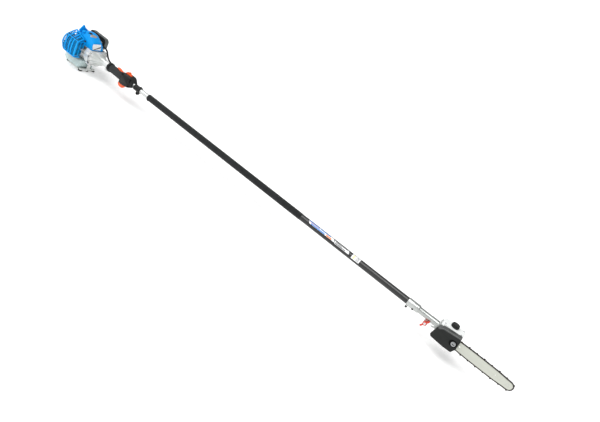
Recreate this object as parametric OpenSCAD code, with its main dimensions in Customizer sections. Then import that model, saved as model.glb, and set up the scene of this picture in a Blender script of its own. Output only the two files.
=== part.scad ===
// Telescoping petrol pole saw, fully retracted.
// X runs along the pole towards the saw, Y to the user's left, Z up.
// The origin is the centre of the harness eye that hangs under the pole.
// Every module draws about the pole's axis, which lies axis_z above the origin.

/* [Pole] */
// Height of the pole's axis above the harness eye
axis_z = 25; // [24.5:0.5:26]
// Radius of the outer telescoping tube
outer_tube_r = 17; // [16.8:0.1:17.2]
// Radius of the inner telescoping tube
inner_tube_r = 12.5; // [12.4:0.1:12.6]
// Radius of the short tube that carries the handle
engine_tube_r = 13; // [12.9:0.1:13.1]
// Wall of the tubes
tube_wall = 1.6; // [1.4:0.1:1.8]
// Rear end of the outer tube
outer_tube_x = 86; // [80:1:92]
// Front end of the bare outer tube, where its clamp starts
clamp_x = 1900; // [1850:10:2000]
// Front end of the soft sleeve
sleeve_end_x = 1238; // [1100:2:1300]
// Thickness of the soft sleeve
sleeve_wall = 1; // [0.8:0.1:1.5]

/* [Engine] */
// Place of the cylinder along the pole
cylinder_x = -455; // [-457:0.5:-453]
// Radius of the cylinder bore
bore_r = 17; // [16.8:0.1:17.2]
// Piston stroke
stroke = 28; // [26:1:28]
// Radius of the fan housing
fan_case_r = 64; // [63:0.5:66]
// Radius of the crank journals
crank_r = 6; // [5.8:0.1:6.1]
// Radius of the recoil starter's rope groove
rope_groove_r = 25; // [24:0.5:26]
// Lowest face of the stand, below the pole's axis
stand_bottom = -119; // [-121:1:-118]

/* [Handle] */
// Radius of the rubber grip
grip_r = 23.5; // [23:0.5:24]
// Radius of the flange behind the grip
flange_r = 27.5; // [27:0.5:29]
// Half width of the switch housing
housing_half_w = 22; // [20:0.5:24]

/* [Saw head] */
// Half height of the guide bar
bar_half_h = 22.5; // [22:0.5:23]
// Thickness of the guide bar
bar_t = 4; // [3.5:0.1:4.2]
// Distance of the bar's middle plane from the pole's axis
bar_y = -48; // [-48.5:0.1:-47.5]
// Height of the chain outside the bar's edge
chain_h = 6.5; // [6:0.1:7]
// Teeth on the bevel pinion
pinion_teeth = 12; // [12:2:12]
// Teeth on the bevel gear
gear_teeth = 18; // [18:2:18]

/* [Hidden] */
fine = 64;
running = 0.05;
clear = 0.3;
outer_bore_r = outer_tube_r - tube_wall;
inner_bore_r = inner_tube_r - tube_wall;
engine_bore_r = engine_tube_r - tube_wall;
sleeve_r = outer_tube_r + sleeve_wall;

// Engine stations along X
cone_front_x = -259;
cone_base_x = -372.7;
fan_case_back_x = -411;
case_back_x = -484;
case_top = 33.5;
starter_back_x = -543;
ear_place_r = fan_case_r + 3;
ear_angles = [80, 135, 225, 280];
crank_throw = stroke / 2;
web_r = crank_throw + 7;
web_gap = 16;
wrist_z = 60;
port_z = 52;
starter_x = -516;
cap_x = -500;
cap_z = -78;

// Plug axis: where it starts in the chamber, and its lean to the back
plug_z = 80;
plug_lean = -80;

// Handle stations
flange_front_x = -243;
grip_front_x = -139;
housing_front_x = -39;
trigger_pin = [-100, -24];
lockout_pin = [-147, 20];
handle_screw_places = [[-60, 23], [-64, -18.5], [-128, 25]];

// Radial screws that hold the tubes, as X place and tube radius
radial_lean = 40;
adapter_screw_x = outer_tube_x + 11;
clamp_screw_x = clamp_x + 37;

// Saw head stations, all from the tube clamp
wide_clamp_end = clamp_x + 59;
clamp_end = clamp_x + 129;
knob_x = clamp_x + 120;
knob_z = -29;
lock_pin_x = clamp_x + 5;
case_x = clamp_end + 0.5;
sprocket_x = clamp_x + 222;
stud_x = clamp_x + 271;
nose_r = 17.5;
nose_x = clamp_x + 550;
cap_oil_x = clamp_x + 232;
sprocket_tip_r = 18.4;

// Shafts of the telescoping drive
drive_front_x = clamp_x - 20;
square_half = 3.5;
inner_back_x = 600;
shaft_back_x = inner_back_x + 10;

// Bevel pair: pitch radii at the large end, and the face's small-end share
pinion_pitch_r = 10;
gear_pitch_r = pinion_pitch_r * gear_teeth / pinion_teeth;
face_small = 0.6;
tooth_w = 1.1;
tooth_half_h = 1.2;
tooth_root = 1.9;
root_drop = 1.33;

// Throttle cable and its route from the carburettor to the handle flange
cable_r = 4.5;
cable_sides = 8;
cable_route = [
    [-436.6, 57, 50],
    [-424, 58, 50],
    [-411, 60, 50],
    [-398, 62, 49],
    [-386, 62.5, 45],
    [-374, 61.5, 39],
    [-360, 55, 32],
    [-345, 47, 26],
    [-328, 39, 20],
    [-310, 31, 16],
    [-291, 24, 14],
    [-275, 20, 13],
    [-259.6, 19, 12]
];

// ---- Shared shapes, drawn about the pole's axis ----

module rod_x(x0, x1, r) {
    translate([x0, 0, axis_z]) rotate([0, 90, 0]) cylinder(h = x1 - x0, r = r, $fn = fine);
}

module cone_x(x0, x1, r0, r1) {
    translate([x0, 0, axis_z]) rotate([0, 90, 0])
        cylinder(h = x1 - x0, r1 = r0, r2 = r1, $fn = fine);
}

module ring_x(x0, x1, r_out, r_in) {
    difference() {
        rod_x(x0, x1, r_out);
        rod_x(x0 - 1, x1 + 1, r_in);
    }
}

module rod_y(x, z, y0, y1, r, sides = fine) {
    translate([x, y0, axis_z + z]) rotate([-90, 0, 0])
        cylinder(h = y1 - y0, r = r, $fn = sides);
}

module rod_z(x, y, z0, z1, r) {
    translate([x, y, axis_z + z0]) cylinder(h = z1 - z0, r = r, $fn = fine);
}

module block(x, y, z) {
    translate([x[0], y[0], axis_z + z[0]]) cube([x[1] - x[0], y[1] - y[0], z[1] - z[0]]);
}

// Extrusions of a flat outline: along Y from an XZ outline, along X from a YZ one, along Z
module along_y(y0, y1) {
    translate([0, y1, axis_z]) rotate([90, 0, 0]) linear_extrude(y1 - y0) children();
}

module along_x(x0, x1) {
    translate([x0, 0, axis_z]) rotate([90, 0, 90]) linear_extrude(x1 - x0) children();
}

module along_z(z0, z1) {
    translate([0, 0, axis_z + z0]) linear_extrude(z1 - z0) children();
}

// Rectangle with true arcs at its corners
module round_rect(a0, a1, b0, b1, r) {
    translate([a0 + r, b0]) square([a1 - a0 - 2 * r, b1 - b0]);
    translate([a0, b0 + r]) square([a1 - a0, b1 - b0 - 2 * r]);
    for (a = [a0 + r, a1 - r], b = [b0 + r, b1 - r])
        translate([a, b]) circle(r = r, $fn = 40);
}

// Screw along local +Z: the shank below 0, the pan head above
module screw(shank, r = 2.5) {
    translate([0, 0, -shank]) cylinder(h = shank, r = r, $fn = 32);
    difference() {
        cylinder(h = 3, r = 1.9 * r, $fn = 32);
        translate([0, 0, 1.5]) cylinder(h = 2, r = r * 0.8, $fn = 6);
    }
}

// Puts a thing radially on the pole, on the near side and below
module radial(x, r) {
    translate([x, 0, axis_z]) rotate([90 + radial_lean, 0, 0]) translate([0, 0, r]) children();
}

// ---- Engine ----

// Screw ears at the joint of the fan case and the clutch housing, and their holes
module housing_ears(x0, x1) {
    for (a = ear_angles)
        translate([0, 0, axis_z]) rotate([a, 0, 0]) translate([0, 0, -axis_z])
            block([x0, x1], [-6, 6], [fan_case_r - 5, fan_case_r + 9]);
}

module ear_holes(x0, x1) {
    for (a = ear_angles)
        translate([x0, 0, axis_z]) rotate([a, 0, 0]) translate([0, 0, ear_place_r])
            rotate([0, 90, 0]) cylinder(h = x1 - x0, r = 2.6, $fn = 32);
}

module crankcase_front() {
    color("gainsboro") difference() {
        union() {
            rod_x(fan_case_back_x, cone_base_x - 0.3, fan_case_r);
            housing_ears(-390, cone_base_x - 0.3);
        }
        rod_x(-406, -378, 56);
        rod_x(-379, -372, 50);
        rod_x(-412, -405, 14);
        block([-406, -370], [-70, 70], [case_top, 80]);
        block([-412, -405], [-70, -50], [case_top, 80]);
        block([-412, -405], [34, 70], [case_top, 80]);
        ear_holes(-388, -372);
    }
}

module crankcase_rear() {
    color("silver") difference() {
        union() {
            rod_x(case_back_x, fan_case_back_x - 0.2, 34);
            block([-481, -429], [-30, 30], [0, 33.8]);
            block([-477, -439], [-24, 24], [-53.8, -25]);
            rod_x(fan_case_back_x - 0.3, -406.2, 13.5);
        }
        rod_x(-473, -437, 29);
        rod_x(-437.5, -420, 13.05);
        rod_x(-421, -405, 8);
        rod_x(-485, -472, 13.05);
        rod_z(cylinder_x, 0, 5, 40, 20.05);
    }
}

module crank_bearings() {
    color("lightsteelblue") {
        ring_x(-433, -421, 13, crank_r + running);
        ring_x(-483, -474, 13, crank_r + running);
    }
}

module clutch_housing() {
    color("gainsboro") difference() {
        union() {
            rod_x(cone_base_x, cone_base_x + 5, fan_case_r - 1);
            cone_x(cone_base_x + 4, -356, 58, 45);
            cone_x(-356, -338, 45, 32);
            cone_x(-338, -318, 32, 22);
            cone_x(-318, -296, 22, 18);
            rod_x(-296, cone_front_x, 18);
            housing_ears(cone_base_x, -366);
            block([-284, -262], [-7, 7], [-33, -12]);
        }
        difference() {
            cone_x(cone_base_x - 1, -343, 51, 30);
            block([-380, -340], [-60, 60], [case_top - 3, 80]);
        }
        rod_x(-344, -331, 10.5);
        rod_x(-332, cone_front_x + 1, engine_tube_r + running);
        block([-380, -310], [-70, 70], [case_top, 80]);
        ear_holes(-374, -365);
        block([-285, -258], [-1.2, 1.2], [-34, -12]);
        rod_y(-273, -25, -8, 8, 2.6);
    }
}

// All the M5 screws of the engine, handle and pole
module m5_screws() {
    color("silver") {
        for (a = ear_angles)
            translate([-366, 0, axis_z]) rotate([a, 0, 0]) translate([0, 0, ear_place_r])
                rotate([0, 90, 0]) screw(20);
        for (p = handle_screw_places)
            translate([p[0], -housing_half_w, axis_z + p[1]]) rotate([90, 0, 0]) screw(35);
        radial(adapter_screw_x, sleeve_r) screw(4.3);
        radial(clamp_screw_x, outer_tube_r + 3) screw(4.3);
        translate([-273, -7, axis_z - 25]) rotate([90, 0, 0]) screw(13.5);
        translate([-8, 22, axis_z + 8]) screw(15);
    }
}

module plug_axis() {
    translate([cylinder_x, 0, axis_z + plug_z]) rotate([0, plug_lean, 0]) children();
}

module cylinder_block() {
    fin_gap = 6;
    color("silver") difference() {
        union() {
            rod_z(cylinder_x, 0, 26, 34.5, 19.9);
            block([cylinder_x - 26, cylinder_x + 26], [-26, 26], [34, 38]);
            rod_z(cylinder_x, 0, 34, 87, 23);
            for (z = [42:fin_gap:84])
                along_z(z, z + 2) round_rect(cylinder_x - 29, cylinder_x + 29, -31, 31, 8);
            rod_y(cylinder_x, port_z, 20, 38, 12);
            rod_y(cylinder_x, port_z, -38.5, -20, 12);
            plug_axis() cylinder(h = 22, r = 12.5, $fn = 40);
        }
        rod_z(cylinder_x, 0, 25, 79, bore_r);
        rod_y(cylinder_x, port_z, 10, 39, 7);
        rod_y(cylinder_x, port_z, -40, -10, 8);
        plug_axis() cylinder(h = 22.5, r = 5.05, $fn = 40);
        plug_axis() translate([0, 0, 21]) cylinder(h = 50, r = 10.4, $fn = 40);
    }
}

module spark_plug() {
    color("white") plug_axis() {
        translate([0, 0, 12.5]) cylinder(h = 9.5, r = 5, $fn = 32);
        translate([0, 0, 21.2]) cylinder(h = 2.5, r = 8, $fn = 32);
        translate([0, 0, 23]) cylinder(h = 8, r = 8, $fn = 6);
        translate([0, 0, 30]) cylinder(h = 15, r = 5, $fn = 32);
        translate([0, 0, 44]) cylinder(h = 6, r = 3, $fn = 32);
    }
}

module plug_boot() {
    color("black") plug_axis() difference() {
        union() {
            translate([0, 0, 32]) cylinder(h = 20, r = 7.4, $fn = 40);
            translate([0, 0, 44]) rotate([-90, 0, 0]) cylinder(h = 16, r = 5, $fn = 32);
        }
        translate([0, 0, 31]) cylinder(h = 14.2, r = 5.05, $fn = 32);
        translate([0, 0, 44]) cylinder(h = 6.2, r = 3.05, $fn = 32);
    }
}

module ignition_coil() {
    color("black") difference() {
        union() {
            block([-405.9, -392.5], [-15, 15], [46, 63]);
            rod_z(-399, 0, 62, 68, 5);
        }
        rod_x(-410, -380, 46.5);
    }
}

module muffler() {
    color("dimgray") difference() {
        union() {
            along_y(-104, -57) round_rect(-540, -442, 2, 57, 12);
            block([cylinder_x - 18, cylinder_x + 12], [-58, -38.6], [38, 56]);
            rod_y(-513, 20, -108, -103, 7);
        }
        along_y(-102, -59) round_rect(-538, -444, 4, 55, 10);
        rod_y(cylinder_x - 1, port_z - 4, -60, -38, 6);
        rod_y(-513, 20, -109, -101, 5);
    }
}

module guard_side(gap) {
    offset(delta = -gap) polygon([[-434, -46], [-434, 66], [-455, 72], [-505, 92],
        [-526, 94], [-543, 80], [-557, 40], [-560, -5], [-536, -46]]);
}

module guard_section(gap) {
    offset(delta = -gap) polygon([[-56.6, -46], [-56.6, 96], [-64, 94], [-106, 60],
        [-112, 50], [-112, -38], [-106, -46]]);
}

module muffler_guard() {
    columns = 4;
    rows = 9;
    column_w = 26;
    row_h = 10;
    wall = 2.5;
    color("dodgerblue") difference() {
        intersection() {
            along_y(-112, -56.6) guard_side(0);
            along_x(-560, -434) guard_section(0);
        }
        intersection() {
            along_y(-112, -50) guard_side(wall);
            union() {
                along_x(-560, -430) guard_section(wall);
                along_y(-60, -50) guard_side(wall);
            }
        }
        for (i = [0:columns - 1], j = [0:rows - 1])
            block([-540 + i * column_w, -518 + i * column_w], [-113, -108],
                [-37 + j * row_h, -31 + j * row_h]);
    }
}

// The cover's section across the pole, and its side view
module cover_section(gap) {
    offset(delta = -gap) polygon([[-56, 34], [-56, 84], [-50, 97], [-32, 108], [8, 108],
        [26, 100], [38, 86], [42, 64], [42, 34]]);
}

module cover_side_view(gap) {
    offset(delta = -gap) polygon([[-373, 34], [-386, 76], [-394, 84], [-428, 97],
        [-452, 105], [-466, 107], [-505, 100.5], [-524, 94], [-530, 87], [-530, 34]]);
}

module top_cover() {
    color("dodgerblue") difference() {
        union() {
            intersection() {
                along_x(-530, -373) cover_section(0);
                along_y(-56, 42) cover_side_view(0);
            }
            along_x(-508, -502) polygon([[-54.5, 82], [-56.2, 94], [-64, 99],
                [-44, 130], [-38, 130], [-2, 102], [-2, 99]]);
        }
        intersection() {
            along_x(-527.5, -375.5) cover_section(2.5);
            along_y(-53.5, 39.5) cover_side_view(2.5);
        }
        block([-527.5, -375.5], [-53.5, 39.5], [30, 40]);
        rod_z(-455, -20, 100, 120, 6.5);
        block([-531, -526], [-40, 39], [20, 80]);
        block([-531, -434], [-60, -50], [30, 62]);
        block([cylinder_x - 20, cylinder_x + 20], [36, 50], [30, 68]);
    }
}

module starter_housing() {
    color("dimgray") difference() {
        union() {
            rod_x(starter_back_x, -487, 50);
            rod_y(starter_x, -rope_groove_r, 34, 54, 8);
        }
        difference() {
            rod_x(starter_back_x + 3, -486, 46);
            rod_x(starter_back_x, -508, 4.95);
        }
        rod_y(starter_x, -rope_groove_r, -5, 60, 2.5);
        for (a = [0:30:330])
            translate([0, 0, axis_z]) rotate([a, 0, 0]) translate([0, 0, -axis_z])
                block([starter_back_x - 1, starter_back_x + 4], [-3, 3], [16, 40]);
    }
}

module carburettor() {
    color("lightgray") difference() {
        union() {
            block([cylinder_x - 18, cylinder_x + 18], [46, 65.7], [38, 66]);
            rod_y(cylinder_x, port_z, 38.2, 47, 12);
        }
        rod_y(cylinder_x, port_z, 37, 67, 7);
        rod_z(cylinder_x, 56, 37, 44.2, 8.4);
    }
}

module primer_bulb() {
    color("orangered") {
        rod_z(cylinder_x, 56, 32, 38.3, 8);
        intersection() {
            translate([cylinder_x, 56, axis_z + 32]) sphere(r = 8, $fn = 40);
            rod_z(cylinder_x, 56, 22, 32.1, 9);
        }
    }
}

module air_filter_base() {
    color("dimgray") difference() {
        union() {
            along_y(66, 69) round_rect(-553, -417, 25, 92, 18.6);
            along_y(66, 69) round_rect(-449, -423, 4, 40, 8);
        }
        rod_y(cylinder_x, port_z, 65, 70, 8);
        rod_y(-436, 12, 65, 70, 3.05);
    }
}

module air_filter_element() {
    color("darkslategray") difference() {
        along_y(72, 92) round_rect(-536, -434, 38, 80, 14);
        along_y(71, 88) round_rect(-522, -448, 48, 70, 10);
    }
}

module air_filter_cover() {
    color("dimgray") difference() {
        hull() {
            along_y(66, 86) round_rect(-556, -414, 22, 95, 22);
            along_y(103, 104) round_rect(-541, -429, 38, 83, 16);
        }
        hull() {
            along_y(65, 86) round_rect(-553.3, -416.7, 24.7, 92.3, 19);
            along_y(100, 101) round_rect(-539, -431, 40, 81, 14);
        }
        block([-451, -421], [65, 73], [15, 28]);
    }
}

module choke_lever() {
    color("black") {
        rod_y(-436, 12, 64, 69.4, 3);
        rod_y(-436, 12, 69.3, 72.3, 7);
        along_y(69.3, 72.3) polygon([[-439, 10], [-433, 10], [-432, -16], [-440, -16]]);
        rod_y(-436, -16, 69.3, 78, 5);
    }
}

module tank_outer(gap) {
    intersection() {
        along_y(-60 + gap, 52 - gap)
            round_rect(-566 + gap, -424 - gap, -111 + gap, -54 - gap, 18 - gap);
        along_z(-112, -53) round_rect(-566 + gap, -424 - gap, -60 + gap, 52 - gap, 22 - gap);
    }
}

module fuel_tank() {
    tank_wall = 2.2;
    color("lightcyan") difference() {
        union() {
            tank_outer(0);
            rod_y(cap_x, cap_z, 46, 72, 15);
        }
        tank_outer(tank_wall);
        rod_y(cap_x, cap_z, 40, 73, 12);
    }
}

module fuel_cap() {
    color("black") difference() {
        union() {
            rod_y(cap_x, cap_z, 63, 79, 19);
            for (a = [0:20:340])
                translate([cap_x, 63, axis_z + cap_z]) rotate([0, a, 0])
                    translate([19, 0, 0]) rotate([-90, 0, 0]) cylinder(h = 14, r = 1.4, $fn = 16);
        }
        rod_y(cap_x, cap_z, 62, 73, 15.4);
    }
}

module tank_stand() {
    plate_z = -115.5;
    color("black") difference() {
        union() {
            along_z(plate_z, -111.3) round_rect(-550, -414, -46, 46, 12);
            along_z(plate_z, -111.3) round_rect(-429, -409, -57, 57, 8);
            along_z(plate_z, -101) round_rect(-423.4, -409, -55, 55, 6);
            for (y = [-56, -9, 38])
                block([-427, -411], [y, y + 18], [stand_bottom, plate_z + 1]);
            for (y = [-46, 28])
                block([-548, -530], [y, y + 18], [stand_bottom, plate_z + 1]);
            block([-411.7, -408], [-12, 12], [plate_z, -60]);
        }
        rod_x(-414, -400, fan_case_r + 0.2);
    }
}

module crankshaft() {
    mid = cylinder_x;
    color("slategray") {
        rod_x(mid + web_gap / 2, -360, crank_r);
        rod_x(-507, mid - web_gap / 2, crank_r);
        rod_x(mid + web_gap / 2, mid + web_gap, web_r);
        rod_x(mid - web_gap, mid - web_gap / 2, web_r);
        difference() {
            rod_x(-502, -493, 18);
            for (a = [0:60:300])
                translate([0, 0, axis_z]) rotate([a, 0, 0]) translate([0, 0, -axis_z])
                    block([-503, -498], [-2, 2], [10, 19]);
        }
    }
}

module flywheel() {
    blades = 16;
    color("darkgray") difference() {
        union() {
            rod_x(-404, -391, 46);
            rod_x(-404, -380, 14);
            for (a = [0:360 / blades:359])
                translate([0, 0, axis_z]) rotate([a, 0, 0]) translate([0, 0, -axis_z])
                    block([-392, -382], [-1.2, 1.2], [18, 48]);
        }
        rod_x(-405, -379, crank_r + 0.02);
        for (a = [0, 180])
            translate([0, 0, axis_z]) rotate([a, 0, 0]) translate([-395, 0, 10])
                rotate([0, 90, 0]) cylinder(h = 20, r = 2.52, $fn = 32);
    }
}

// Two centrifugal shoes and the pins that carry them
module clutch_shoes() {
    color("sienna") {
        difference() {
            rod_x(-363, -350, 23.5);
            rod_x(-364, -349, 8);
            block([-364, -349], [-30, 30], [-3, 3]);
            for (a = [0, 180])
                translate([0, 0, axis_z]) rotate([a, 0, 0]) translate([-365, 0, 15])
                    rotate([0, 90, 0]) cylinder(h = 20, r = 3.02, $fn = 32);
        }
        for (a = [0, 180])
            translate([0, 0, axis_z]) rotate([a, 0, 0]) translate([-379.8, 0, 15])
                rotate([0, 90, 0]) cylinder(h = 30, r = 3, $fn = 32);
        difference() {
            rod_x(-379.8, -375, 20);
            rod_x(-381, -374, crank_r + 0.02);
            for (a = [0, 180])
                translate([0, 0, axis_z]) rotate([a, 0, 0]) translate([-381, 0, 15])
                    rotate([0, 90, 0]) cylinder(h = 20, r = 3.02, $fn = 32);
        }
    }
}

module clutch_drum() {
    color("gray") difference() {
        union() {
            rod_x(-367, -345, 27);
            rod_x(-346, -333.5, 9);
        }
        rod_x(-368, -348.5, 24.5);
        rod_x(-349, -333, crank_r + 0.02);
    }
}

module piston() {
    color("lightgray") {
        difference() {
            rod_z(cylinder_x, 0, 51, 77, bore_r - running);
            rod_z(cylinder_x, 0, 50, 71, bore_r - 3);
            translate([0, 0, wrist_z]) rod_x(cylinder_x - 18, cylinder_x + 18, 4.02);
        }
        translate([0, 0, wrist_z]) rod_x(cylinder_x - 15.5, cylinder_x + 15.5, 4);
    }
}

// The rod and the crank pin that is pressed into its big end
module connecting_rod() {
    color("slategray") {
        difference() {
            union() {
                translate([0, 0, crank_throw]) rod_x(cylinder_x - 3, cylinder_x + 3, 8.5);
                translate([0, 0, wrist_z]) rod_x(cylinder_x - 3, cylinder_x + 3, 6.5);
                block([cylinder_x - 3, cylinder_x + 3], [-3.5, 3.5],
                    [crank_throw + 5, wrist_z - 5]);
            }
            translate([0, 0, crank_throw]) rod_x(cylinder_x - 4, cylinder_x + 4, 5.02);
            translate([0, 0, wrist_z]) rod_x(cylinder_x - 4, cylinder_x + 4, 4.05);
        }
        translate([0, 0, crank_throw]) rod_x(cylinder_x - 7.7, cylinder_x + 7.7, 5);
    }
}

module starter_pulley() {
    color("white") difference() {
        rod_x(starter_x - 7, starter_x + 7, rope_groove_r + 3);
        difference() {
            rod_x(starter_x - 3, starter_x + 3, rope_groove_r + 4);
            rod_x(starter_x - 4, starter_x + 4, rope_groove_r - 2);
        }
        rod_x(starter_x - 8, starter_x + 8, 5);
    }
}

module starter_handle() {
    color("black") difference() {
        union() {
            along_y(60, 73) round_rect(-541, -491, -rope_groove_r - 8, -rope_groove_r + 8, 7.5);
            rod_y(starter_x, -rope_groove_r, 54.4, 61, 7);
        }
        rod_y(starter_x, -rope_groove_r, 54, 68, 1.82);
    }
}

module starter_rope() {
    color("ivory") rod_y(starter_x, -rope_groove_r, 2, 67.5, 1.8);
}

// ---- Throttle cable ----

function unit(v) = v / norm(v);
function route_dir(i) =
    unit(cable_route[min(i + 1, len(cable_route) - 1)] - cable_route[max(i - 1, 0)]);
function side_dir(i) = unit(cross(route_dir(i), [0, 0, 1]));
function ring_point(i, k) =
    cable_route[i] + cable_r * (cos(k * 360 / cable_sides) * side_dir(i)
        + sin(k * 360 / cable_sides) * cross(side_dir(i), route_dir(i)));

module throttle_cable() {
    n = len(cable_route);
    s = cable_sides;
    points = [for (i = [0:n - 1], k = [0:s - 1]) ring_point(i, k) + [0, 0, axis_z]];
    sides = [for (i = [0:n - 2], k = [0:s - 1])
        [i * s + k, i * s + (k + 1) % s, (i + 1) * s + (k + 1) % s, (i + 1) * s + k]];
    start = [for (k = [0:s - 1]) s - 1 - k];
    end = [for (k = [0:s - 1]) (n - 1) * s + k];
    color("black") polyhedron(points, concat(sides, [start], [end]), convexity = 4);
}

// ---- Handle ----

// Side view of the switch housing
module housing_side() {
    polygon([[grip_front_x, 24], [-134, 32], [-124, 37], [-70, 37], [-56, 30.5], [-42, 10],
        [housing_front_x, -4], [-43, -16], [-64, -26], [-92, -31.5], [-120, -34],
        [grip_front_x, -31]]);
}

module handle_body() {
    difference() {
        union() {
            rod_x(cone_front_x, -252, 24.5);
            rod_x(-253, flange_front_x, flange_r);
            rod_x(flange_front_x - 1, grip_front_x + 1, 16);
            along_y(-housing_half_w, housing_half_w) housing_side();
            block([-153, -142], [-9, 9], [10, 26]);
        }
        rod_x(-262, housing_front_x + 3, engine_tube_r + running);
        block([-140, -88], [-7, 7], [-43, -17.5]);
        block([-125.5, -71], [-9, 9], [31, 41]);
        block([-197, -141], [-5, 5], [13.2, 32]);
        rod_y(trigger_pin[0], trigger_pin[1], -20, 20, 2.05);
        rod_y(lockout_pin[0], lockout_pin[1], -10, 10, 1.65);
        for (p = handle_screw_places)
            rod_y(p[0], p[1], -30, 14, 2.55);
    }
}

module handle_shell_left() {
    color("black") intersection() {
        handle_body();
        block([-300, 0], [0.05, 40], [-60, 60]);
    }
}

module handle_shell_right() {
    color("black") intersection() {
        handle_body();
        block([-300, 0], [-40, -0.05], [-60, 60]);
    }
}

module rubber_grip() {
    color("darkslategray") difference() {
        cone_x(flange_front_x + 0.2, grip_front_x - 0.2, grip_r - 1.5, grip_r + 0.5);
        rod_x(flange_front_x, grip_front_x, 16.05);
        block([-198, -153], [-5.5, 5.5], [10, 30]);
        block([-154, -139], [-9.5, 9.5], [9, 30]);
    }
}

module handle_pins() {
    color("silver") {
        rod_y(trigger_pin[0], trigger_pin[1], -19, 19, 2);
        rod_y(lockout_pin[0], lockout_pin[1], -8.8, 8.8, 1.6);
    }
}

module throttle_trigger() {
    color("orangered") difference() {
        along_y(-6, 6) polygon([[-94, -28], [-95, -20], [-104, -19.5], [-120, -25], [-139, -33],
            [-152, -38], [-156, -44], [-149, -54], [-134, -59], [-117, -58], [-105, -47],
            [-97, -34]]);
        rod_y(trigger_pin[0], trigger_pin[1], -7, 7, 2.05);
    }
}

module throttle_lockout() {
    color("orangered") difference() {
        along_y(-4.5, 4.5) polygon([[-143, 17], [-143, 25], [-150, 28], [-160, 29.5],
            [-170, 33], [-190, 34], [-195, 31], [-194, 26], [-188, 24.5], [-165, 21], [-152, 16]]);
        rod_y(lockout_pin[0], lockout_pin[1], -6, 6, 1.65);
    }
}

module stop_switch() {
    color("orangered") {
        block([-124, -81], [-8, 8], [31.4, 38]);
        along_y(-7, 7) polygon([[-124, 37.9], [-117, 44], [-107, 50.5], [-98, 50], [-82, 37.9]]);
    }
}

// ---- Pole ----

module engine_tube() {
    color("silver") difference() {
        ring_x(-318, outer_tube_x + 38, engine_tube_r, engine_bore_r);
        radial(adapter_screw_x, engine_tube_r - 3) cylinder(h = 5, r = 2.6, $fn = 32);
    }
}

module harness_collar() {
    color("black") difference() {
        union() {
            rod_x(-30, 19, engine_tube_r + 4);
            along_y(-6, 6) {
                translate([0, -axis_z]) circle(r = 8.5, $fn = 48);
                translate([-8.5, -axis_z]) square([17, 14]);
            }
            block([-18, 2], [14, 28], [-7.5, 8]);
        }
        rod_x(-31, 20, engine_tube_r + running);
        rod_y(0, -axis_z, -7, 7, 5);
        block([-31, 20], [10, 29], [-1, 1]);
        rod_z(-8, 22, -7, 9, 2.6);
    }
}

module tube_adapter() {
    color("silver") difference() {
        ring_x(outer_tube_x + 1, outer_tube_x + 42, outer_bore_r - running,
            engine_tube_r + running);
        radial(adapter_screw_x, engine_tube_r - 1) cylinder(h = 5, r = 2.6, $fn = 32);
    }
}

module outer_tube() {
    color("black") difference() {
        ring_x(outer_tube_x, wide_clamp_end - 4, outer_tube_r, outer_bore_r);
        radial(adapter_screw_x, outer_bore_r - 2) cylinder(h = 6, r = 2.6, $fn = 32);
        radial(clamp_screw_x, outer_bore_r - 2) cylinder(h = 6, r = 2.6, $fn = 32);
        rod_z(lock_pin_x, 0, -outer_tube_r - 1, -outer_bore_r + 2, 3.4);
    }
}

module soft_sleeve() {
    taper = 14;
    color("darkslategray") difference() {
        union() {
            rod_x(outer_tube_x, sleeve_end_x - taper, sleeve_r);
            cone_x(sleeve_end_x - taper, sleeve_end_x, sleeve_r, outer_tube_r + 0.3);
        }
        rod_x(outer_tube_x - 1, sleeve_end_x + 1, outer_tube_r + running);
        radial(adapter_screw_x, outer_tube_r - 1) cylinder(h = 4, r = 2.6, $fn = 32);
    }
}

module tube_clamp() {
    color("silver") difference() {
        union() {
            rod_x(clamp_x, wide_clamp_end, outer_tube_r + 3);
            cone_x(wide_clamp_end, wide_clamp_end + 6, outer_tube_r + 3, inner_tube_r + 3);
            rod_x(wide_clamp_end, clamp_end, inner_tube_r + 3);
            block([clamp_end - 21, clamp_end], [-8, 8], [-38, -10]);
            rod_z(lock_pin_x + 1, 0, -23, -15, 6);
        }
        rod_x(clamp_x - 1, wide_clamp_end - 3.5, outer_tube_r + running);
        rod_x(wide_clamp_end - 4, clamp_end + 1, inner_tube_r + running);
        block([clamp_end - 50, clamp_end + 1], [-1.5, 1.5], [-39, -10]);
        rod_y(knob_x, knob_z, -9, 9, 3.05);
        rod_z(lock_pin_x, 0, -24, -14, 3.4);
        radial(clamp_screw_x, outer_tube_r - 1) cylinder(h = 6, r = 2.6, $fn = 32);
        block([clamp_x - 6, clamp_x], [-30, 30], [-30, 30]);
    }
}

module lock_pin() {
    color("black") {
        rod_z(lock_pin_x, 0, -24, -inner_tube_r - clear, 3);
        rod_z(lock_pin_x, 0, -33, -23.4, 5.5);
    }
}

module wing_knob() {
    wing_span = 26;
    color("red") {
        difference() {
            union() {
                rod_y(knob_x, knob_z, -23, -8.4, 10);
                along_y(-23, -16.6) translate([knob_x, knob_z]) rotate(58)
                    round_rect(-wing_span, wing_span, -4, 4, 3.5);
            }
            rod_y(knob_x, knob_z, -24, -8, 3.02);
        }
        rod_y(knob_x, knob_z, -24, 13, 3);
        rod_y(knob_x, knob_z, 8.4, 13, 6.5, 6);
    }
}

module shaft_bushes() {
    color("lightyellow") {
        ring_x(-330, -320, engine_tube_r, crank_r + running);
        for (x = [-200, -40])
            ring_x(x, x + 20, engine_bore_r - running, crank_r + running);
        for (x = [160, 350, 540])
            ring_x(x, x + 20, outer_bore_r - running, crank_r + running);
    }
}

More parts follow.
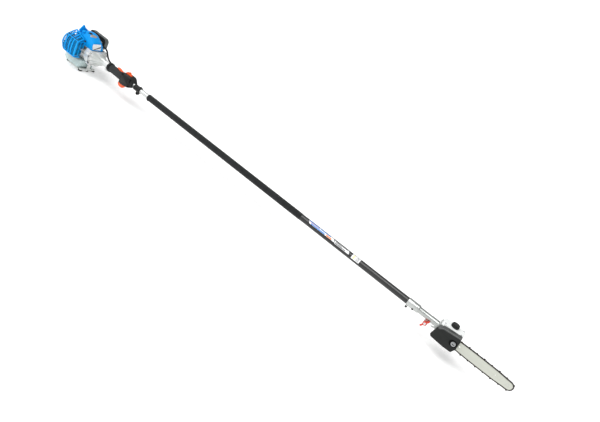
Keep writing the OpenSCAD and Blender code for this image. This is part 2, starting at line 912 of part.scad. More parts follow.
// Tube shaft with a square bore in which the inner shaft slides
module drive_shaft() {
    color("slategray") difference() {
        union() {
            rod_x(-345.5, drive_front_x, crank_r);
            rod_x(drive_front_x - 18, drive_front_x - 2, inner_bore_r - clear);
        }
        block([shaft_back_x - 20, drive_front_x + 1],
            [-square_half - 0.1, square_half + 0.1], [-square_half - 0.1, square_half + 0.1]);
    }
}

module inner_tube() {
    color("silver") ring_x(inner_back_x, case_x + 25, inner_tube_r, inner_bore_r);
}

// Bevel teeth on their pitch cone, with its apex at the origin and its large end at -Z
module bevel_teeth(teeth, r, depth, turn) {
    slope = atan(r / depth);
    mid = (1 + face_small) / 2;
    face = (1 - face_small) * norm([r, depth]);
    for (i = [0:teeth - 1])
        rotate([0, 0, turn + i * 360 / teeth]) translate([r * mid, 0, -depth * mid])
            rotate([0, -slope, 0]) translate([-tooth_root, -tooth_w / 2, -face / 2])
                cube([tooth_root + tooth_half_h, tooth_w, face]);
}

module inner_shaft() {
    shift = root_drop / sin(atan(pinion_pitch_r / gear_pitch_r));
    color("slategray") {
        block([shaft_back_x, case_x + 34], [-square_half, square_half],
            [-square_half, square_half]);
        rod_x(case_x + 33, sprocket_x - 31, 6);
        translate([sprocket_x, 0, axis_z]) rotate([0, 90, 0]) {
            translate([0, 0, -gear_pitch_r - 17]) cylinder(h = 15, r = 6, $fn = fine);
            translate([0, 0, -gear_pitch_r - shift])
                cylinder(h = gear_pitch_r * (1 - face_small), r1 = pinion_pitch_r,
                    r2 = pinion_pitch_r * face_small, $fn = fine);
            bevel_teeth(pinion_teeth, pinion_pitch_r, gear_pitch_r, 90);
        }
    }
}

module bevel_gear() {
    shift = root_drop / sin(atan(gear_pitch_r / pinion_pitch_r));
    color("slategray") {
        rod_y(sprocket_x, 0, bar_y - 8, 22, 5);
        translate([sprocket_x, 0, axis_z]) rotate([-90, 0, 0]) {
            translate([0, 0, -pinion_pitch_r - shift - 5])
                cylinder(h = 5.1, r = gear_pitch_r, $fn = fine);
            translate([0, 0, -pinion_pitch_r - shift])
                cylinder(h = pinion_pitch_r * (1 - face_small), r1 = gear_pitch_r,
                    r2 = gear_pitch_r * face_small, $fn = fine);
            bevel_teeth(gear_teeth, gear_pitch_r, pinion_pitch_r, 180 / gear_teeth);
        }
    }
}

module drive_sprocket() {
    teeth = 6;
    color("dimgray") difference() {
        union() {
            rod_y(sprocket_x, 0, bar_y - 4, bar_y + 4, 13);
            for (a = [0:360 / teeth:359])
                translate([sprocket_x, 0, axis_z]) rotate([0, a, 0])
                    translate([-3, bar_y - 1.5, 0]) cube([6, 3, 17.8]);
        }
        rod_y(sprocket_x, 0, bar_y - 5, bar_y + 5, 5.02);
    }
}

// ---- Saw head ----

module gear_case() {
    hook = [[case_x + 44, -27], [case_x + 17, -31], [case_x + 15, -27], [case_x + 27, -24],
        [case_x + 32, -12], [case_x + 44, -12]];
    color("silver") difference() {
        union() {
            rod_x(case_x, case_x + 44, inner_tube_r + 4);
            along_y(-38, 26) round_rect(case_x + 39, clamp_x + 276, -27, 27, 10);
            along_y(bar_y + bar_t / 2 + 0.1, -37) round_rect(stud_x - 21, stud_x + 15, -15, 15, 6);
            along_y(-3.5, 3.5) polygon(hook);
        }
        rod_x(case_x - 1, case_x + 25.2, inner_tube_r + running);
        rod_x(case_x + 25, sprocket_x - 31, 6.05);
        block([sprocket_x - 31, sprocket_x + 22], [-21, 18], [-20, 20]);
        rod_y(sprocket_x, 0, -39, -20, 5.05);
        rod_y(sprocket_x, 0, 17, 23, 5.05);
        rod_y(stud_x, 0, bar_y, -24, 4.02);
    }
}

module oil_tank() {
    color("whitesmoke") difference() {
        union() {
            along_z(27.2, 40) round_rect(clamp_x + 178, clamp_x + 288, -36, 30, 14);
            rod_z(cap_oil_x, 0, 39, 49, 12);
        }
        along_z(29.2, 38) round_rect(clamp_x + 180, clamp_x + 286, -34, 28, 12);
        rod_z(cap_oil_x, 0, 37, 50, 9);
    }
}

module oil_cap() {
    color("black") difference() {
        union() {
            rod_z(cap_oil_x, 0, 40.6, 56, 17.8);
            for (a = [0:20:340])
                translate([cap_oil_x, 0, axis_z + 40.6]) rotate([0, 0, a])
                    translate([17.6, 0, 0]) cylinder(h = 13.4, r = 1.5, $fn = 16);
        }
        rod_z(cap_oil_x, 0, 39.6, 50, 12.4);
    }
}

module cover_side() {
    polygon([[clamp_x + 165, -31], [clamp_x + 173, -40], [clamp_x + 240, -44],
        [clamp_x + 281, -42], [clamp_x + 292, -18], [clamp_x + 290, 25],
        [clamp_x + 284, 44], [clamp_x + 197, 34], [clamp_x + 176, 19]]);
}

module sprocket_cover() {
    face_y = bar_y - 15;
    color("black") difference() {
        union() {
            difference() {
                along_y(face_y, -39.5) cover_side();
                along_y(face_y + 3, -39) offset(delta = -3) cover_side();
            }
            rod_y(stud_x, 0, face_y + 1, bar_y - bar_t / 2 - 0.1, 10);
        }
        block([clamp_x + 245, clamp_x + 300], [face_y + 3, -39], [-31, 31]);
        rod_y(stud_x, 0, face_y - 1, bar_y, 4.3);
    }
}

module bar_nut() {
    nut_y = bar_y - 15.1;
    color("silver") {
        rod_y(stud_x, 0, nut_y - 8, -25, 4);
        difference() {
            union() {
                rod_y(stud_x, 0, nut_y - 4, nut_y, 11);
                rod_y(stud_x, 0, nut_y - 9, nut_y - 3.9, 8, 6);
            }
            rod_y(stud_x, 0, nut_y - 10, nut_y + 1, 4.02);
        }
    }
}

module bar_outline() {
    polygon([[clamp_x + 246, -14], [clamp_x + 265, -20], [clamp_x + 360, -bar_half_h],
        [clamp_x + 480, -bar_half_h + 1], [nose_x, -nose_r], [nose_x, nose_r],
        [clamp_x + 480, bar_half_h - 1], [clamp_x + 360, bar_half_h],
        [clamp_x + 265, 20], [clamp_x + 246, 14]]);
    translate([nose_x, 0]) circle(r = nose_r, $fn = 48);
}

module guide_bar() {
    color("lightgray") difference() {
        along_y(bar_y - bar_t / 2, bar_y + bar_t / 2) bar_outline();
        along_y(bar_y - 4, bar_y + 4) round_rect(stud_x - 9, stud_x + 12, -4.2, 4.2, 4.1);
        rod_y(nose_x - 67, 0, bar_y - 4, bar_y + 4, 2.5);
        rod_y(clamp_x + 299, 0, bar_y - 4, bar_y + 4, 3.5);
    }
}

module chain_loop() {
    bar_outline();
    translate([sprocket_x, 0]) circle(r = sprocket_tip_r, $fn = 48);
    polygon([[sprocket_x, -sprocket_tip_r], [clamp_x + 265, -20], [clamp_x + 265, 20],
        [sprocket_x, sprocket_tip_r]]);
}

module saw_chain() {
    color("dimgray") along_y(bar_y - 3.2, bar_y + 3.2) difference() {
        offset(r = chain_h, $fn = 40) chain_loop();
        offset(r = 0.3, $fn = 40) chain_loop();
    }
}

crankcase_front();
crankcase_rear();
clutch_housing();
m5_screws();
crank_bearings();
cylinder_block();  // cylinder
spark_plug();
plug_boot();
ignition_coil();
muffler();
muffler_guard();
top_cover();
starter_housing();
carburettor();
air_filter_base();
air_filter_element();
air_filter_cover();
fuel_tank();
fuel_cap();
tank_stand();
engine_tube();
throttle_cable();
handle_shell_left();
handle_shell_right();
rubber_grip();
handle_pins();
throttle_trigger();
throttle_lockout();
stop_switch();
choke_lever();
primer_bulb();
harness_collar();
tube_adapter();
outer_tube();
soft_sleeve();
tube_clamp();
shaft_bushes();
lock_pin();
wing_knob();
crankshaft();
flywheel();
clutch_shoes();
clutch_drum();
piston();
connecting_rod();
starter_pulley();
starter_handle();
starter_rope();
drive_shaft();
inner_tube();
inner_shaft();
bevel_gear();
drive_sprocket();
gear_case();
oil_tank();
oil_cap();
sprocket_cover();
bar_nut();
guide_bar();
saw_chain();
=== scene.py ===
"""Telescoping petrol pole saw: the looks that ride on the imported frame.

Lengths in the tables are millimetres about the pole's axis: x towards the saw, y to the user's left, z up.
"""
import math

import bmesh
import bpy
from mathutils import Matrix, Vector
from mathutils.bvhtree import BVHTree


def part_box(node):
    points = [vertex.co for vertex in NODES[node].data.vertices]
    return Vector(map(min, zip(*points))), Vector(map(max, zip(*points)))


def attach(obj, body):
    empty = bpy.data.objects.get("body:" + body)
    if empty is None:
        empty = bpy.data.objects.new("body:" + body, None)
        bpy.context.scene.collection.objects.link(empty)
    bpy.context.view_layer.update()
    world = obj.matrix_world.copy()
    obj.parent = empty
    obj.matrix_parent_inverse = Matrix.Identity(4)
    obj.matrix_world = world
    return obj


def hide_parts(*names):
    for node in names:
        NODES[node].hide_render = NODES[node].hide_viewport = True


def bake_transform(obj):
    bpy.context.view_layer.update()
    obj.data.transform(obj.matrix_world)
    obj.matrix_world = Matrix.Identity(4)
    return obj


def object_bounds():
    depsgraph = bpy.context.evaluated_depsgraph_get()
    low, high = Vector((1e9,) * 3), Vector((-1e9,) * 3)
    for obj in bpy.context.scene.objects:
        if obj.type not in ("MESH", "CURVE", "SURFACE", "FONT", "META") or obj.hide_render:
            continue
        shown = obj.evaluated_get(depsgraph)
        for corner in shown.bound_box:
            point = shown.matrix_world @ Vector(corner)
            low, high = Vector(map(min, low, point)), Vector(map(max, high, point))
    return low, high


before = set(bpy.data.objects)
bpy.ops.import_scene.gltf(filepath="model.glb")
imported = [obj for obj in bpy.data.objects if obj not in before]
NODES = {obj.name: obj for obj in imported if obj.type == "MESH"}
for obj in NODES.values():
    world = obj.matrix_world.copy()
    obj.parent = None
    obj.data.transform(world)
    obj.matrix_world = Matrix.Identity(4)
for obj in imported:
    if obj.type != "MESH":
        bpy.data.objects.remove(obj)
cad_lo, cad_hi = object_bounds()
tube_lo, tube_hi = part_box("outer_tube")
AXIS_Z = (tube_lo.z + tube_hi.z) / 2
MM = 0.001


# A place in millimetres about the pole's axis, as a row-frame point in metres
def V(x, y, z):
    return Vector((x * MM, y * MM, z * MM + AXIS_Z))


# ---- Materials ----

ROUGH_SPREAD = 0.12  # how far roughness wanders each way


def shader(name, rgb, rough, metal=0.0, vary=0.12, blotch=14.0, grain=900.0, bump=0.25, depth=0.2,
           stretch=(1, 1, 1), coat=0.0, worn=None, sheen=0.0, spec=0.5):
    """Principled material: a broad noise moves colour and roughness, and a fine grain lifts the surface."""
    m = bpy.data.materials.new(name)
    m.use_nodes = True
    nt = m.node_tree
    n, link = nt.nodes, nt.links.new
    b = n["Principled BSDF"]
    b.inputs["Metallic"].default_value = metal
    b.inputs["Coat Weight"].default_value = coat
    b.inputs["Coat Roughness"].default_value = 0.12
    b.inputs["Specular IOR Level"].default_value = spec
    b.inputs["Sheen Weight"].default_value = sheen
    co = n.new("ShaderNodeTexCoord")
    mp = n.new("ShaderNodeMapping")
    mp.inputs["Scale"].default_value = stretch
    link(co.outputs["Object"], mp.inputs["Vector"])
    broad = n.new("ShaderNodeTexNoise")
    broad.inputs["Scale"].default_value = blotch
    broad.inputs["Detail"].default_value = 5
    link(mp.outputs["Vector"], broad.inputs["Vector"])
    ramp = n.new("ShaderNodeValToRGB")
    ramp.color_ramp.elements[0].position = 0.3
    ramp.color_ramp.elements[1].position = 0.72
    low = [c * (1 - vary) for c in rgb]
    high = [min(1.0, c * (1 + vary) + 0.004) for c in rgb]
    ramp.color_ramp.elements[0].color = (*low, 1)
    ramp.color_ramp.elements[1].color = (*high, 1)
    link(broad.outputs["Fac"], ramp.inputs["Fac"])
    out = ramp.outputs["Color"]
    if worn:
        geo = n.new("ShaderNodeNewGeometry")
        edge = n.new("ShaderNodeMapRange")
        edge.inputs["From Min"].default_value = 0.52
        edge.inputs["From Max"].default_value = 0.62
        edge.inputs["To Max"].default_value = 0.6
        link(geo.outputs["Pointiness"], edge.inputs["Value"])
        mix = n.new("ShaderNodeMix")
        mix.data_type = "RGBA"
        link(edge.outputs["Result"], mix.inputs["Factor"])
        link(out, mix.inputs["A"])
        mix.inputs["B"].default_value = (*worn, 1)
        out = mix.outputs["Result"]
    link(out, b.inputs["Base Color"])
    fine = n.new("ShaderNodeTexNoise")
    fine.inputs["Scale"].default_value = grain
    fine.inputs["Detail"].default_value = 3
    link(mp.outputs["Vector"], fine.inputs["Vector"])
    rr = n.new("ShaderNodeMapRange")
    rr.inputs["To Min"].default_value = max(0.02, rough - ROUGH_SPREAD)
    rr.inputs["To Max"].default_value = min(1.0, rough + ROUGH_SPREAD)
    link(broad.outputs["Fac"], rr.inputs["Value"])
    link(rr.outputs["Result"], b.inputs["Roughness"])
    bp = n.new("ShaderNodeBump")
    bp.inputs["Strength"].default_value = bump
    bp.inputs["Distance"].default_value = depth * MM
    link(fine.outputs["Fac"], bp.inputs["Height"])
    link(bp.outputs["Normal"], b.inputs["Normal"])
    return m


def dark_beyond(m, at, rgb):
    """The finish turns to a second colour past this x, in metres, on one node that holds both."""
    nt = m.node_tree
    n, link = nt.nodes, nt.links.new
    b = n["Principled BSDF"]
    first = b.inputs["Base Color"].links[0].from_socket
    co, xyz, past, mix = (n.new(t) for t in ("ShaderNodeTexCoord", "ShaderNodeSeparateXYZ", "ShaderNodeMath",
                                             "ShaderNodeMix"))
    link(co.outputs["Object"], xyz.inputs[0])
    past.operation = "GREATER_THAN"
    past.inputs[1].default_value = at
    link(xyz.outputs["X"], past.inputs[0])
    mix.data_type = "RGBA"
    mix.inputs["B"].default_value = (*rgb, 1)
    link(past.outputs[0], mix.inputs["Factor"])
    link(first, mix.inputs["A"])
    link(mix.outputs["Result"], b.inputs["Base Color"])
    return m


BLUE = shader("blue_moulding", (0.0, 0.30, 0.80), 0.42, spec=0.1, grain=1400, bump=0.12, vary=0.07,
              worn=(0.01, 0.42, 0.92))
BLACK = shader("black_moulding", (0.010, 0.0112, 0.0108), 0.5, spec=0.16, grain=1600, bump=0.3, vary=0.2,
               worn=(0.05, 0.052, 0.05))
GREY = shader("filter_cover_grey", (0.075, 0.086, 0.083), 0.5, grain=1500, bump=0.25, worn=(0.13, 0.14, 0.14))
ORANGE = shader("orange_moulding", (1.0, 0.12, 0.018), 0.38, grain=1500, bump=0.12, vary=0.06, coat=0.1)
RED = shader("red_moulding", (0.62, 0.035, 0.012), 0.4, grain=1500, bump=0.12, vary=0.08, coat=0.1)
CAST = shader("die_cast", (0.60, 0.625, 0.605), 0.42, metal=0.45, grain=1100, bump=0.4, depth=0.25, vary=0.1,
              worn=(0.8, 0.81, 0.81))
CLAMP = shader("clamp_cast", (0.45, 0.47, 0.455), 0.34, metal=0.85, grain=1200, bump=0.3, vary=0.08,
               worn=(0.85, 0.86, 0.86))
TUBE = shader("drawn_aluminium", (0.62, 0.64, 0.63), 0.3, metal=0.75, grain=500, bump=0.1, depth=0.05,
              stretch=(0.05, 1, 1), vary=0.05)
TANK = shader("tank_polythene", (0.52, 0.64, 0.63), 0.34, grain=500, bump=0.1, vary=0.06, coat=0.1)
OILTANK = shader("oil_tank_polythene", (0.90, 0.92, 0.91), 0.34, grain=500, bump=0.1, vary=0.05, coat=0.1)
WHITE = shader("nylon", (0.74, 0.74, 0.70), 0.5, grain=900, bump=0.1, vary=0.05)
GRIP = shader("grip_rubber", (0.024, 0.027, 0.028), 0.66, spec=0.2, grain=1300, bump=0.5, vary=0.2, sheen=0.1)
CABLE = shader("cable_sheath", (0.008, 0.008, 0.009), 0.45, spec=0.2, grain=1200, bump=0.15, vary=0.2)
SLEEVE = shader("sleeve_foam", (0.014, 0.0155, 0.016), 0.75, spec=0.12, grain=1700, bump=0.7, depth=0.35,
                vary=0.25, blotch=40,
                sheen=0.15)
FOAM = shader("filter_foam", (0.09, 0.10, 0.10), 0.9, grain=700, bump=0.9, depth=0.8, vary=0.3)
GLOSS_BLACK = shader("tube_paint", (0.007, 0.0075, 0.008), 0.3, spec=0.3, grain=350, bump=0.06, vary=0.2,
                     coat=0.4,
                     stretch=(0.25, 1, 1), worn=(0.06, 0.06, 0.06))
BRIGHT = shader("zinc_plate", (0.72, 0.72, 0.73), 0.27, metal=1.0, grain=1500, bump=0.1, vary=0.08)
SCREW = dark_beyond(shader("screw_finish", (0.72, 0.72, 0.73), 0.3, metal=1.0, grain=1500, bump=0.1,
                           vary=0.08), -0.2,
                    (0.012, 0.012, 0.012))
STEEL = shader("ground_steel", (0.42, 0.43, 0.44), 0.34, metal=1.0, grain=900, bump=0.12, vary=0.12,
               stretch=(0.2, 1, 1))
SOOT = shader("heat_tinted_sheet", (0.06, 0.055, 0.05), 0.45, metal=0.9, grain=600, bump=0.25, vary=0.35,
              blotch=40)
IRON = shader("cast_iron", (0.30, 0.30, 0.30), 0.58, metal=0.8, grain=800, bump=0.6, depth=0.3)
LINING = shader("shoe_lining", (0.26, 0.20, 0.15), 0.7, metal=0.5, grain=900, bump=0.5)
PISTON = shader("piston_alloy", (0.66, 0.66, 0.66), 0.3, metal=0.95, grain=900, bump=0.1, stretch=(1, 1, 0.1))
CERAMIC = shader("plug_ceramic", (0.82, 0.81, 0.78), 0.2, grain=300, bump=0.03, coat=0.4, vary=0.04)
BAR = shader("bar_paint", (0.55, 0.565, 0.50), 0.36, metal=0.45, grain=700, bump=0.12, vary=0.07,
             stretch=(0.12, 1, 1),
             worn=(0.75, 0.75, 0.7))
CHAIN = shader("oiled_chain", (0.03, 0.027, 0.024), 0.42, metal=0.6, spec=0.3, grain=1500, bump=0.25,
               vary=0.4, blotch=60)
CHROME_TOP = shader("cutter_steel", (0.06, 0.052, 0.045), 0.34, metal=0.8, spec=0.3, grain=1500, bump=0.15,
                    vary=0.3, blotch=80)
ROPE = shader("braided_rope", (0.70, 0.69, 0.64), 0.8, grain=1500, bump=0.8, depth=0.4)
LABEL_WHITE = shader("label_white", (0.86, 0.87, 0.88), 0.3, grain=400, bump=0.03, coat=0.3, vary=0.03)
LABEL_BLUE = shader("label_blue", (0.012, 0.20, 0.62), 0.3, grain=400, bump=0.03, coat=0.3, vary=0.05)
LABEL_ORANGE = shader("label_orange", (0.86, 0.20, 0.03), 0.3, grain=400, bump=0.03, coat=0.3, vary=0.05)
LABEL_YELLOW = shader("label_yellow", (0.86, 0.76, 0.42), 0.3, grain=400, bump=0.03, coat=0.3, vary=0.05)
BADGE = shader("badge_plate", (0.40, 0.37, 0.34), 0.4, metal=0.3, grain=400, bump=0.05, vary=0.08)
# Lighter than the cover's black moulding: painted highlight for the light caught along the cover's top edge
COVER_EDGE_HIGHLIGHT = shader("cover_edge_painted_highlight", (0.05, 0.053, 0.052), 0.4, spec=0.4, grain=1600, bump=0.2, vary=0.2)
# Near-black: painted shade for the recess round the bar nut and the slot in the nut, which are not cut
PAINTED_SHADE = shader("cover_painted_shade", (0.002, 0.0022, 0.002), 0.8, spec=0.05, grain=1600, bump=0.2, vary=0.2)
# Pale grey on the black cover: painted highlight line along the lip
COVER_HIGHLIGHT_LINE = shader("cover_highlight_line", (0.17, 0.175, 0.17), 0.35, spec=0.4, grain=1600, bump=0.2, vary=0.15)
LABEL_BLACK = shader("label_black", (0.02, 0.02, 0.022), 0.3, grain=400, bump=0.03, coat=0.3, vary=0.1)


# ---- Mesh helpers ----

def piece(name, bm, mats, body, stands_for=(), bevel=0.0, seg=2, angle=32, thick=0.0, weld=True):
    """A mesh from bmesh in row-frame metres, with shading, shell and edge modifiers, that rides on a body."""
    if weld:
        bmesh.ops.remove_doubles(bm, verts=bm.verts, dist=1e-6)
    bmesh.ops.recalc_face_normals(bm, faces=bm.faces)
    me = bpy.data.meshes.new(name)
    bm.to_mesh(me)
    bm.free()
    for m in mats if isinstance(mats, (list, tuple)) else [mats]:
        me.materials.append(m)
    o = bpy.data.objects.new(name, me)
    bpy.context.scene.collection.objects.link(o)
    me.polygons.foreach_set("use_smooth", [True] * len(me.polygons))
    if not bevel:
        me.set_sharp_from_angle(angle=math.radians(angle))
    if thick:
        s = o.modifiers.new("shell", "SOLIDIFY")
        s.thickness, s.offset = thick * MM, -1
    if bevel:
        edge_round(o, bevel, seg, angle)
    if body:
        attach(o, body)
    if stands_for:
        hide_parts(*stands_for)
    return o


def edge_round(o, width, seg=2, angle=32):
    b = o.modifiers.new("edge", "BEVEL")
    b.width, b.segments, b.limit_method, b.angle_limit = width * MM, seg, "ANGLE", math.radians(angle)
    b.use_clamp_overlap = True
    w = o.modifiers.new("normals", "WEIGHTED_NORMAL")
    w.keep_sharp = True


def ring_verts(bm, pts):
    return [bm.verts.new(p) for p in pts]


def bridge(bm, a, b):
    """Faces between two rings of vertices."""
    n = len(a)
    for i in range(n):
        j = (i + 1) % n
        bm.faces.new((a[i], a[j], b[j], b[i]))


def loft(bm, rings, cap0=True):
    """Skin over rings of points, closed at its last end and, unless cap0 is off, at its first."""
    vs = [ring_verts(bm, r) for r in rings]
    for a, b in zip(vs, vs[1:]):
        bridge(bm, a, b)
    if cap0:
        bm.faces.new(vs[0][::-1])
    bm.faces.new(vs[-1])


def rounded(points, r, seg=4):
    """Outline with an arc at each corner, of one radius or one per corner, always the same count."""
    out = []
    n = len(points)
    for i, p in enumerate(points):
        p = Vector(p)
        a, b = Vector(points[i - 1]) - p, Vector(points[(i + 1) % n]) - p
        ri = r[i] if isinstance(r, (list, tuple)) else r
        la, lb = a.length, b.length
        a.normalize()
        b.normalize()
        half = max(0.05, a.angle(b) / 2) if a.length and b.length else 1
        cut = min(ri / math.tan(half), la * 0.48, lb * 0.48)
        p0, p1 = p + a * cut, p + b * cut
        for k in range(seg + 1):
            t = k / seg
            q = p0.lerp(p, t).lerp(p.lerp(p1, t), t)
            out.append((q.x, q.y))
    return out


# An outline laid in the plane at this y, x or z
def at_y(outline, y):
    return [V(x, y, z) for x, z in outline]


def at_x(outline, x):
    return [V(x, y, z) for y, z in outline]


def at_z(outline, z):
    return [V(x, y, z) for x, y in outline]


def inset(outline, d):
    """Outline moved inwards by d along its own normals (its winding may be either way)."""
    n = len(outline)
    area = sum(outline[i - 1][0] * outline[i][1] - outline[i][0] * outline[i - 1][1] for i in range(n))
    s = 1 if area > 0 else -1
    out = []
    for i, p in enumerate(outline):
        a, b = Vector(outline[i - 1]), Vector(outline[(i + 1) % n])
        t = b - a
        if t.length < 1e-9:
            out.append(p)
            continue
        t.normalize()
        out.append((p[0] - t.y * d * s, p[1] + t.x * d * s))
    return out


def shrunk(outline, d):
    """Outline drawn in by d on all four sides of its box, so its corners stay round."""
    xs, zs = [p[0] for p in outline], [p[1] for p in outline]
    cx, cz = (min(xs) + max(xs)) / 2, (min(zs) + max(zs)) / 2
    kx, kz = 1 - 2 * d / (max(xs) - min(xs)), 1 - 2 * d / (max(zs) - min(zs))
    return [(cx + (x - cx) * kx, cz + (z - cz) * kz) for x, z in outline]


def slab(bm, outline, place, a0, a1, soft=0.0, steps=3):
    """Prism whose two edges roll over by soft."""
    rings = []
    lo, hi, sign = a0, a1, 1 if a1 > a0 else -1
    if soft:
        for k in range(steps + 1):
            t = k / steps * math.pi / 2
            rings.append(place(inset(outline, soft * (1 - math.sin(t))),
                               lo + sign * soft * (1 - math.cos(t))))
        for k in range(steps + 1):
            t = (1 - k / steps) * math.pi / 2
            rings.append(place(inset(outline, soft * (1 - math.sin(t))),
                               hi - sign * soft * (1 - math.cos(t))))
    else:
        rings = [place(outline, lo), place(outline, hi)]
    loft(bm, rings)


def circle(c0, c1, r, n):
    return [(c0 + r * math.cos(2 * math.pi * k / n), c1 + r * math.sin(2 * math.pi * k / n))
            for k in range(n)]


def lathe_ring(bm, profile, n):
    """Closed ring about the pole's axis, from (x, r) pairs."""
    vs = [ring_verts(bm, at_x(circle(0.0, 0.0, r, n), x)) for x, r in profile]
    for a, b in zip(vs, vs[1:] + vs[:1]):
        bridge(bm, a, b)


def lathe(bm, profile, place, c0, c1, n):
    """Revolution about a line along the axis that place draws across, from (along, r) pairs."""
    loft(bm, [place(circle(c0, c1, r, n), a) for a, r in profile])


def sweep(bm, path, r, n=14):
    """Round cord along a list of row-frame points."""
    vs = []
    up = Vector((0, 0, 1))
    for i, p in enumerate(path):
        t = (path[min(i + 1, len(path) - 1)] - path[max(i - 1, 0)]).normalized()
        a = t.cross(up).normalized()
        b = a.cross(t)
        turns = [2 * math.pi * k / n for k in range(n)]
        vs.append(ring_verts(bm, [p + (a * math.cos(q) + b * math.sin(q)) * r * MM for q in turns]))
    for a, b in zip(vs, vs[1:]):
        bridge(bm, a, b)
    bm.faces.new(vs[0][::-1])
    bm.faces.new(vs[-1])


def smooth_path(points, steps=6):
    """Catmull-Rom through the points, in row-frame metres."""
    p = [V(*q) for q in points]
    p = [p[0] * 2 - p[1]] + p + [p[-1] * 2 - p[-2]]
    out = []
    for i in range(1, len(p) - 2):
        for k in range(steps):
            t = k / steps
            a, b, c, d = p[i - 1], p[i], p[i + 1], p[i + 2]
            out.append(0.5 * ((2 * b) + (c - a) * t + (2 * a - 5 * b + 4 * c - d) * t * t
                              + (3 * b - a - 3 * c + d) * t ** 3))
    out.append(p[-2])
    return out


# ---- CAD nodes that keep their shape ----

def finish_cad(name, mat, bevel):
    """Gives a CAD node its material, flat faces made whole, and rounded edges."""
    o = NODES[name]
    o.data.materials.clear()
    o.data.materials.append(mat)
    w = o.modifiers.new("weld", "WELD")
    w.merge_threshold = 1e-5
    d = o.modifiers.new("plain", "DECIMATE")
    d.decimate_type, d.angle_limit = "DISSOLVE", math.radians(0.6)
    edge_round(o, bevel, 2, 40)


# CAD node: its material and the width of its rounded edges
KEPT = {
    "crankcase_front": (CAST, 1.2), "crankcase_rear": (CAST, 0.8), "clutch_housing": (CAST, 1.4),
    "m5_screws": (SCREW, 0.3), "crank_bearings": (STEEL, 0.3), "cylinder": (CAST, 0.4),
    "spark_plug": (CERAMIC, 0.2),
    "plug_boot": (GRIP, 0.8), "ignition_coil": (BLACK, 0.6), "muffler": (SOOT, 0.6),
    "starter_housing": (BLACK, 1.2),
    "carburettor": (CAST, 0.8), "air_filter_base": (BLACK, 0.8), "air_filter_element": (FOAM, 0.6),
    "fuel_cap": (BLACK, 0.6), "engine_tube": (TUBE, 0.3), "handle_pins": (BRIGHT, 0.2),
    "choke_lever": (BLACK, 0.6),
    "primer_bulb": (ORANGE, 0.3), "harness_collar": (BLACK, 1.0), "tube_adapter": (TUBE, 0.3),
    "outer_tube": (GLOSS_BLACK, 0.3), "soft_sleeve": (SLEEVE, 0.3), "tube_clamp": (CLAMP, 0.9),
    "shaft_bushes": (WHITE, 0.3), "lock_pin": (BLACK, 0.6), "crankshaft": (STEEL, 0.4),
    "flywheel": (IRON, 0.4),
    "clutch_shoes": (LINING, 0.3), "clutch_drum": (STEEL, 0.4), "piston": (PISTON, 0.2),
    "connecting_rod": (STEEL, 0.3),
    "starter_pulley": (WHITE, 0.4), "starter_handle": (BLACK, 1.5), 
    "drive_shaft": (STEEL, 0.3), "inner_tube": (TUBE, 0.3), "inner_shaft": (STEEL, 0.2),
    "bevel_gear": (STEEL, 0.2),
    "drive_sprocket": (STEEL, 0.3), "gear_case": (CLAMP, 1.6), "oil_cap": (BLACK, 0.8),
    "bar_nut": (STEEL, 0.4),
         "handle_shell_left": (BLACK, 1.5),
    "handle_shell_right": (BLACK, 1.5), "rubber_grip": (GRIP, 1.0), "throttle_trigger": (ORANGE, 1.0),
    "throttle_lockout": (ORANGE, 1.0), "stop_switch": (ORANGE, 1.0), "wing_knob": (RED, 1.2),
    "oil_tank": (OILTANK, 2.0), "sprocket_cover": (BLACK, 2.0), "guide_bar": (BAR, 0.4),
}


def carve(o, *cutters):
    """Cuts closed bmesh shapes out of a piece before its other modifiers."""
    for bm in cutters:
        bmesh.ops.recalc_face_normals(bm, faces=bm.faces)
        me = bpy.data.meshes.new("cutter")
        bm.to_mesh(me)
        bm.free()
        c = bpy.data.objects.new("cutter", me)
        bpy.context.scene.collection.objects.link(c)
        kept = [(m, m.show_viewport) for m in o.modifiers]
        for m, _ in kept:
            m.show_viewport = False
        cut = o.modifiers.new("cut", "BOOLEAN")
        cut.operation, cut.solver, cut.object = "DIFFERENCE", "EXACT", c
        bpy.context.view_layer.update()
        done = bpy.data.meshes.new_from_object(o.evaluated_get(bpy.context.evaluated_depsgraph_get()))
        o.modifiers.remove(cut)
        for m, shown in kept:
            m.show_viewport = shown
        old = o.data
        name = old.name
        o.data = done
        bpy.data.meshes.remove(old)
        done.name = name
        bpy.data.objects.remove(c)
        bpy.data.meshes.remove(me)


def lerp_table(rows, x):
    """Rows of numbers interpolated on their first column."""
    for a, b in zip(rows, rows[1:]):
        if x <= b[0]:
            t = max(0.0, (x - a[0]) / (b[0] - a[0]))
            return [p + (q - p) * t for p, q in zip(a[1:], b[1:])]
    return list(rows[-1][1:])


# ---- Top cover: lofted across the pole, hollow below ----

FRONT_X, FOOT_Z = -373, 34  # the front face, and the cover's lower edge

# x, height of the crown, reach of the far side
CROWN = [(-530, 86, 36), (-527, 90, 39), (-520, 95, 41), (-505, 100, 42), (-485, 104, 42), (-466, 106.5, 42),
         (-452, 105.5, 42), (-428, 98, 41), (-400, 90, 38), (-382, 84, 34), (-375, 80, 30), (-373, 78, 28)]


def leaning(points, x, z, depth=0.31):
    """Leans the cover's front back as it rises, fading out towards the rear."""
    share = max(0.0, min(1.0, (x + 440) / 60))
    return [Vector((p.x - depth * share * max(0.0, p.z - AXIS_Z - z * MM), p.y, p.z)) for p in points]


def lean_front(bm):
    """Leans a mesh drawn on the cover's front face as that face leans."""
    for v in bm.verts:
        v.co = leaning([v.co], FRONT_X, FOOT_Z)[0]


def cover_ring(x, shrink=0.0):
    h, w = lerp_table(CROWN, x)
    h, w, near, foot = h - shrink, w - shrink, -56 + shrink, FOOT_Z + shrink * 0.4
    pts = [(near, foot), (near, max(foot + 12, h - 27)), (near + 9, h - 9), (near + 26, h), (w - 30, h),
           (w - 12, h - 8), (w - 2, h - 24), (w, max(foot + 8, h - 44)), (w, foot)]
    return leaning(at_x(rounded(pts, [0.5, 9, 9, 14, 14, 12, 12, 12, 0.5], 4), x), x, FOOT_Z)


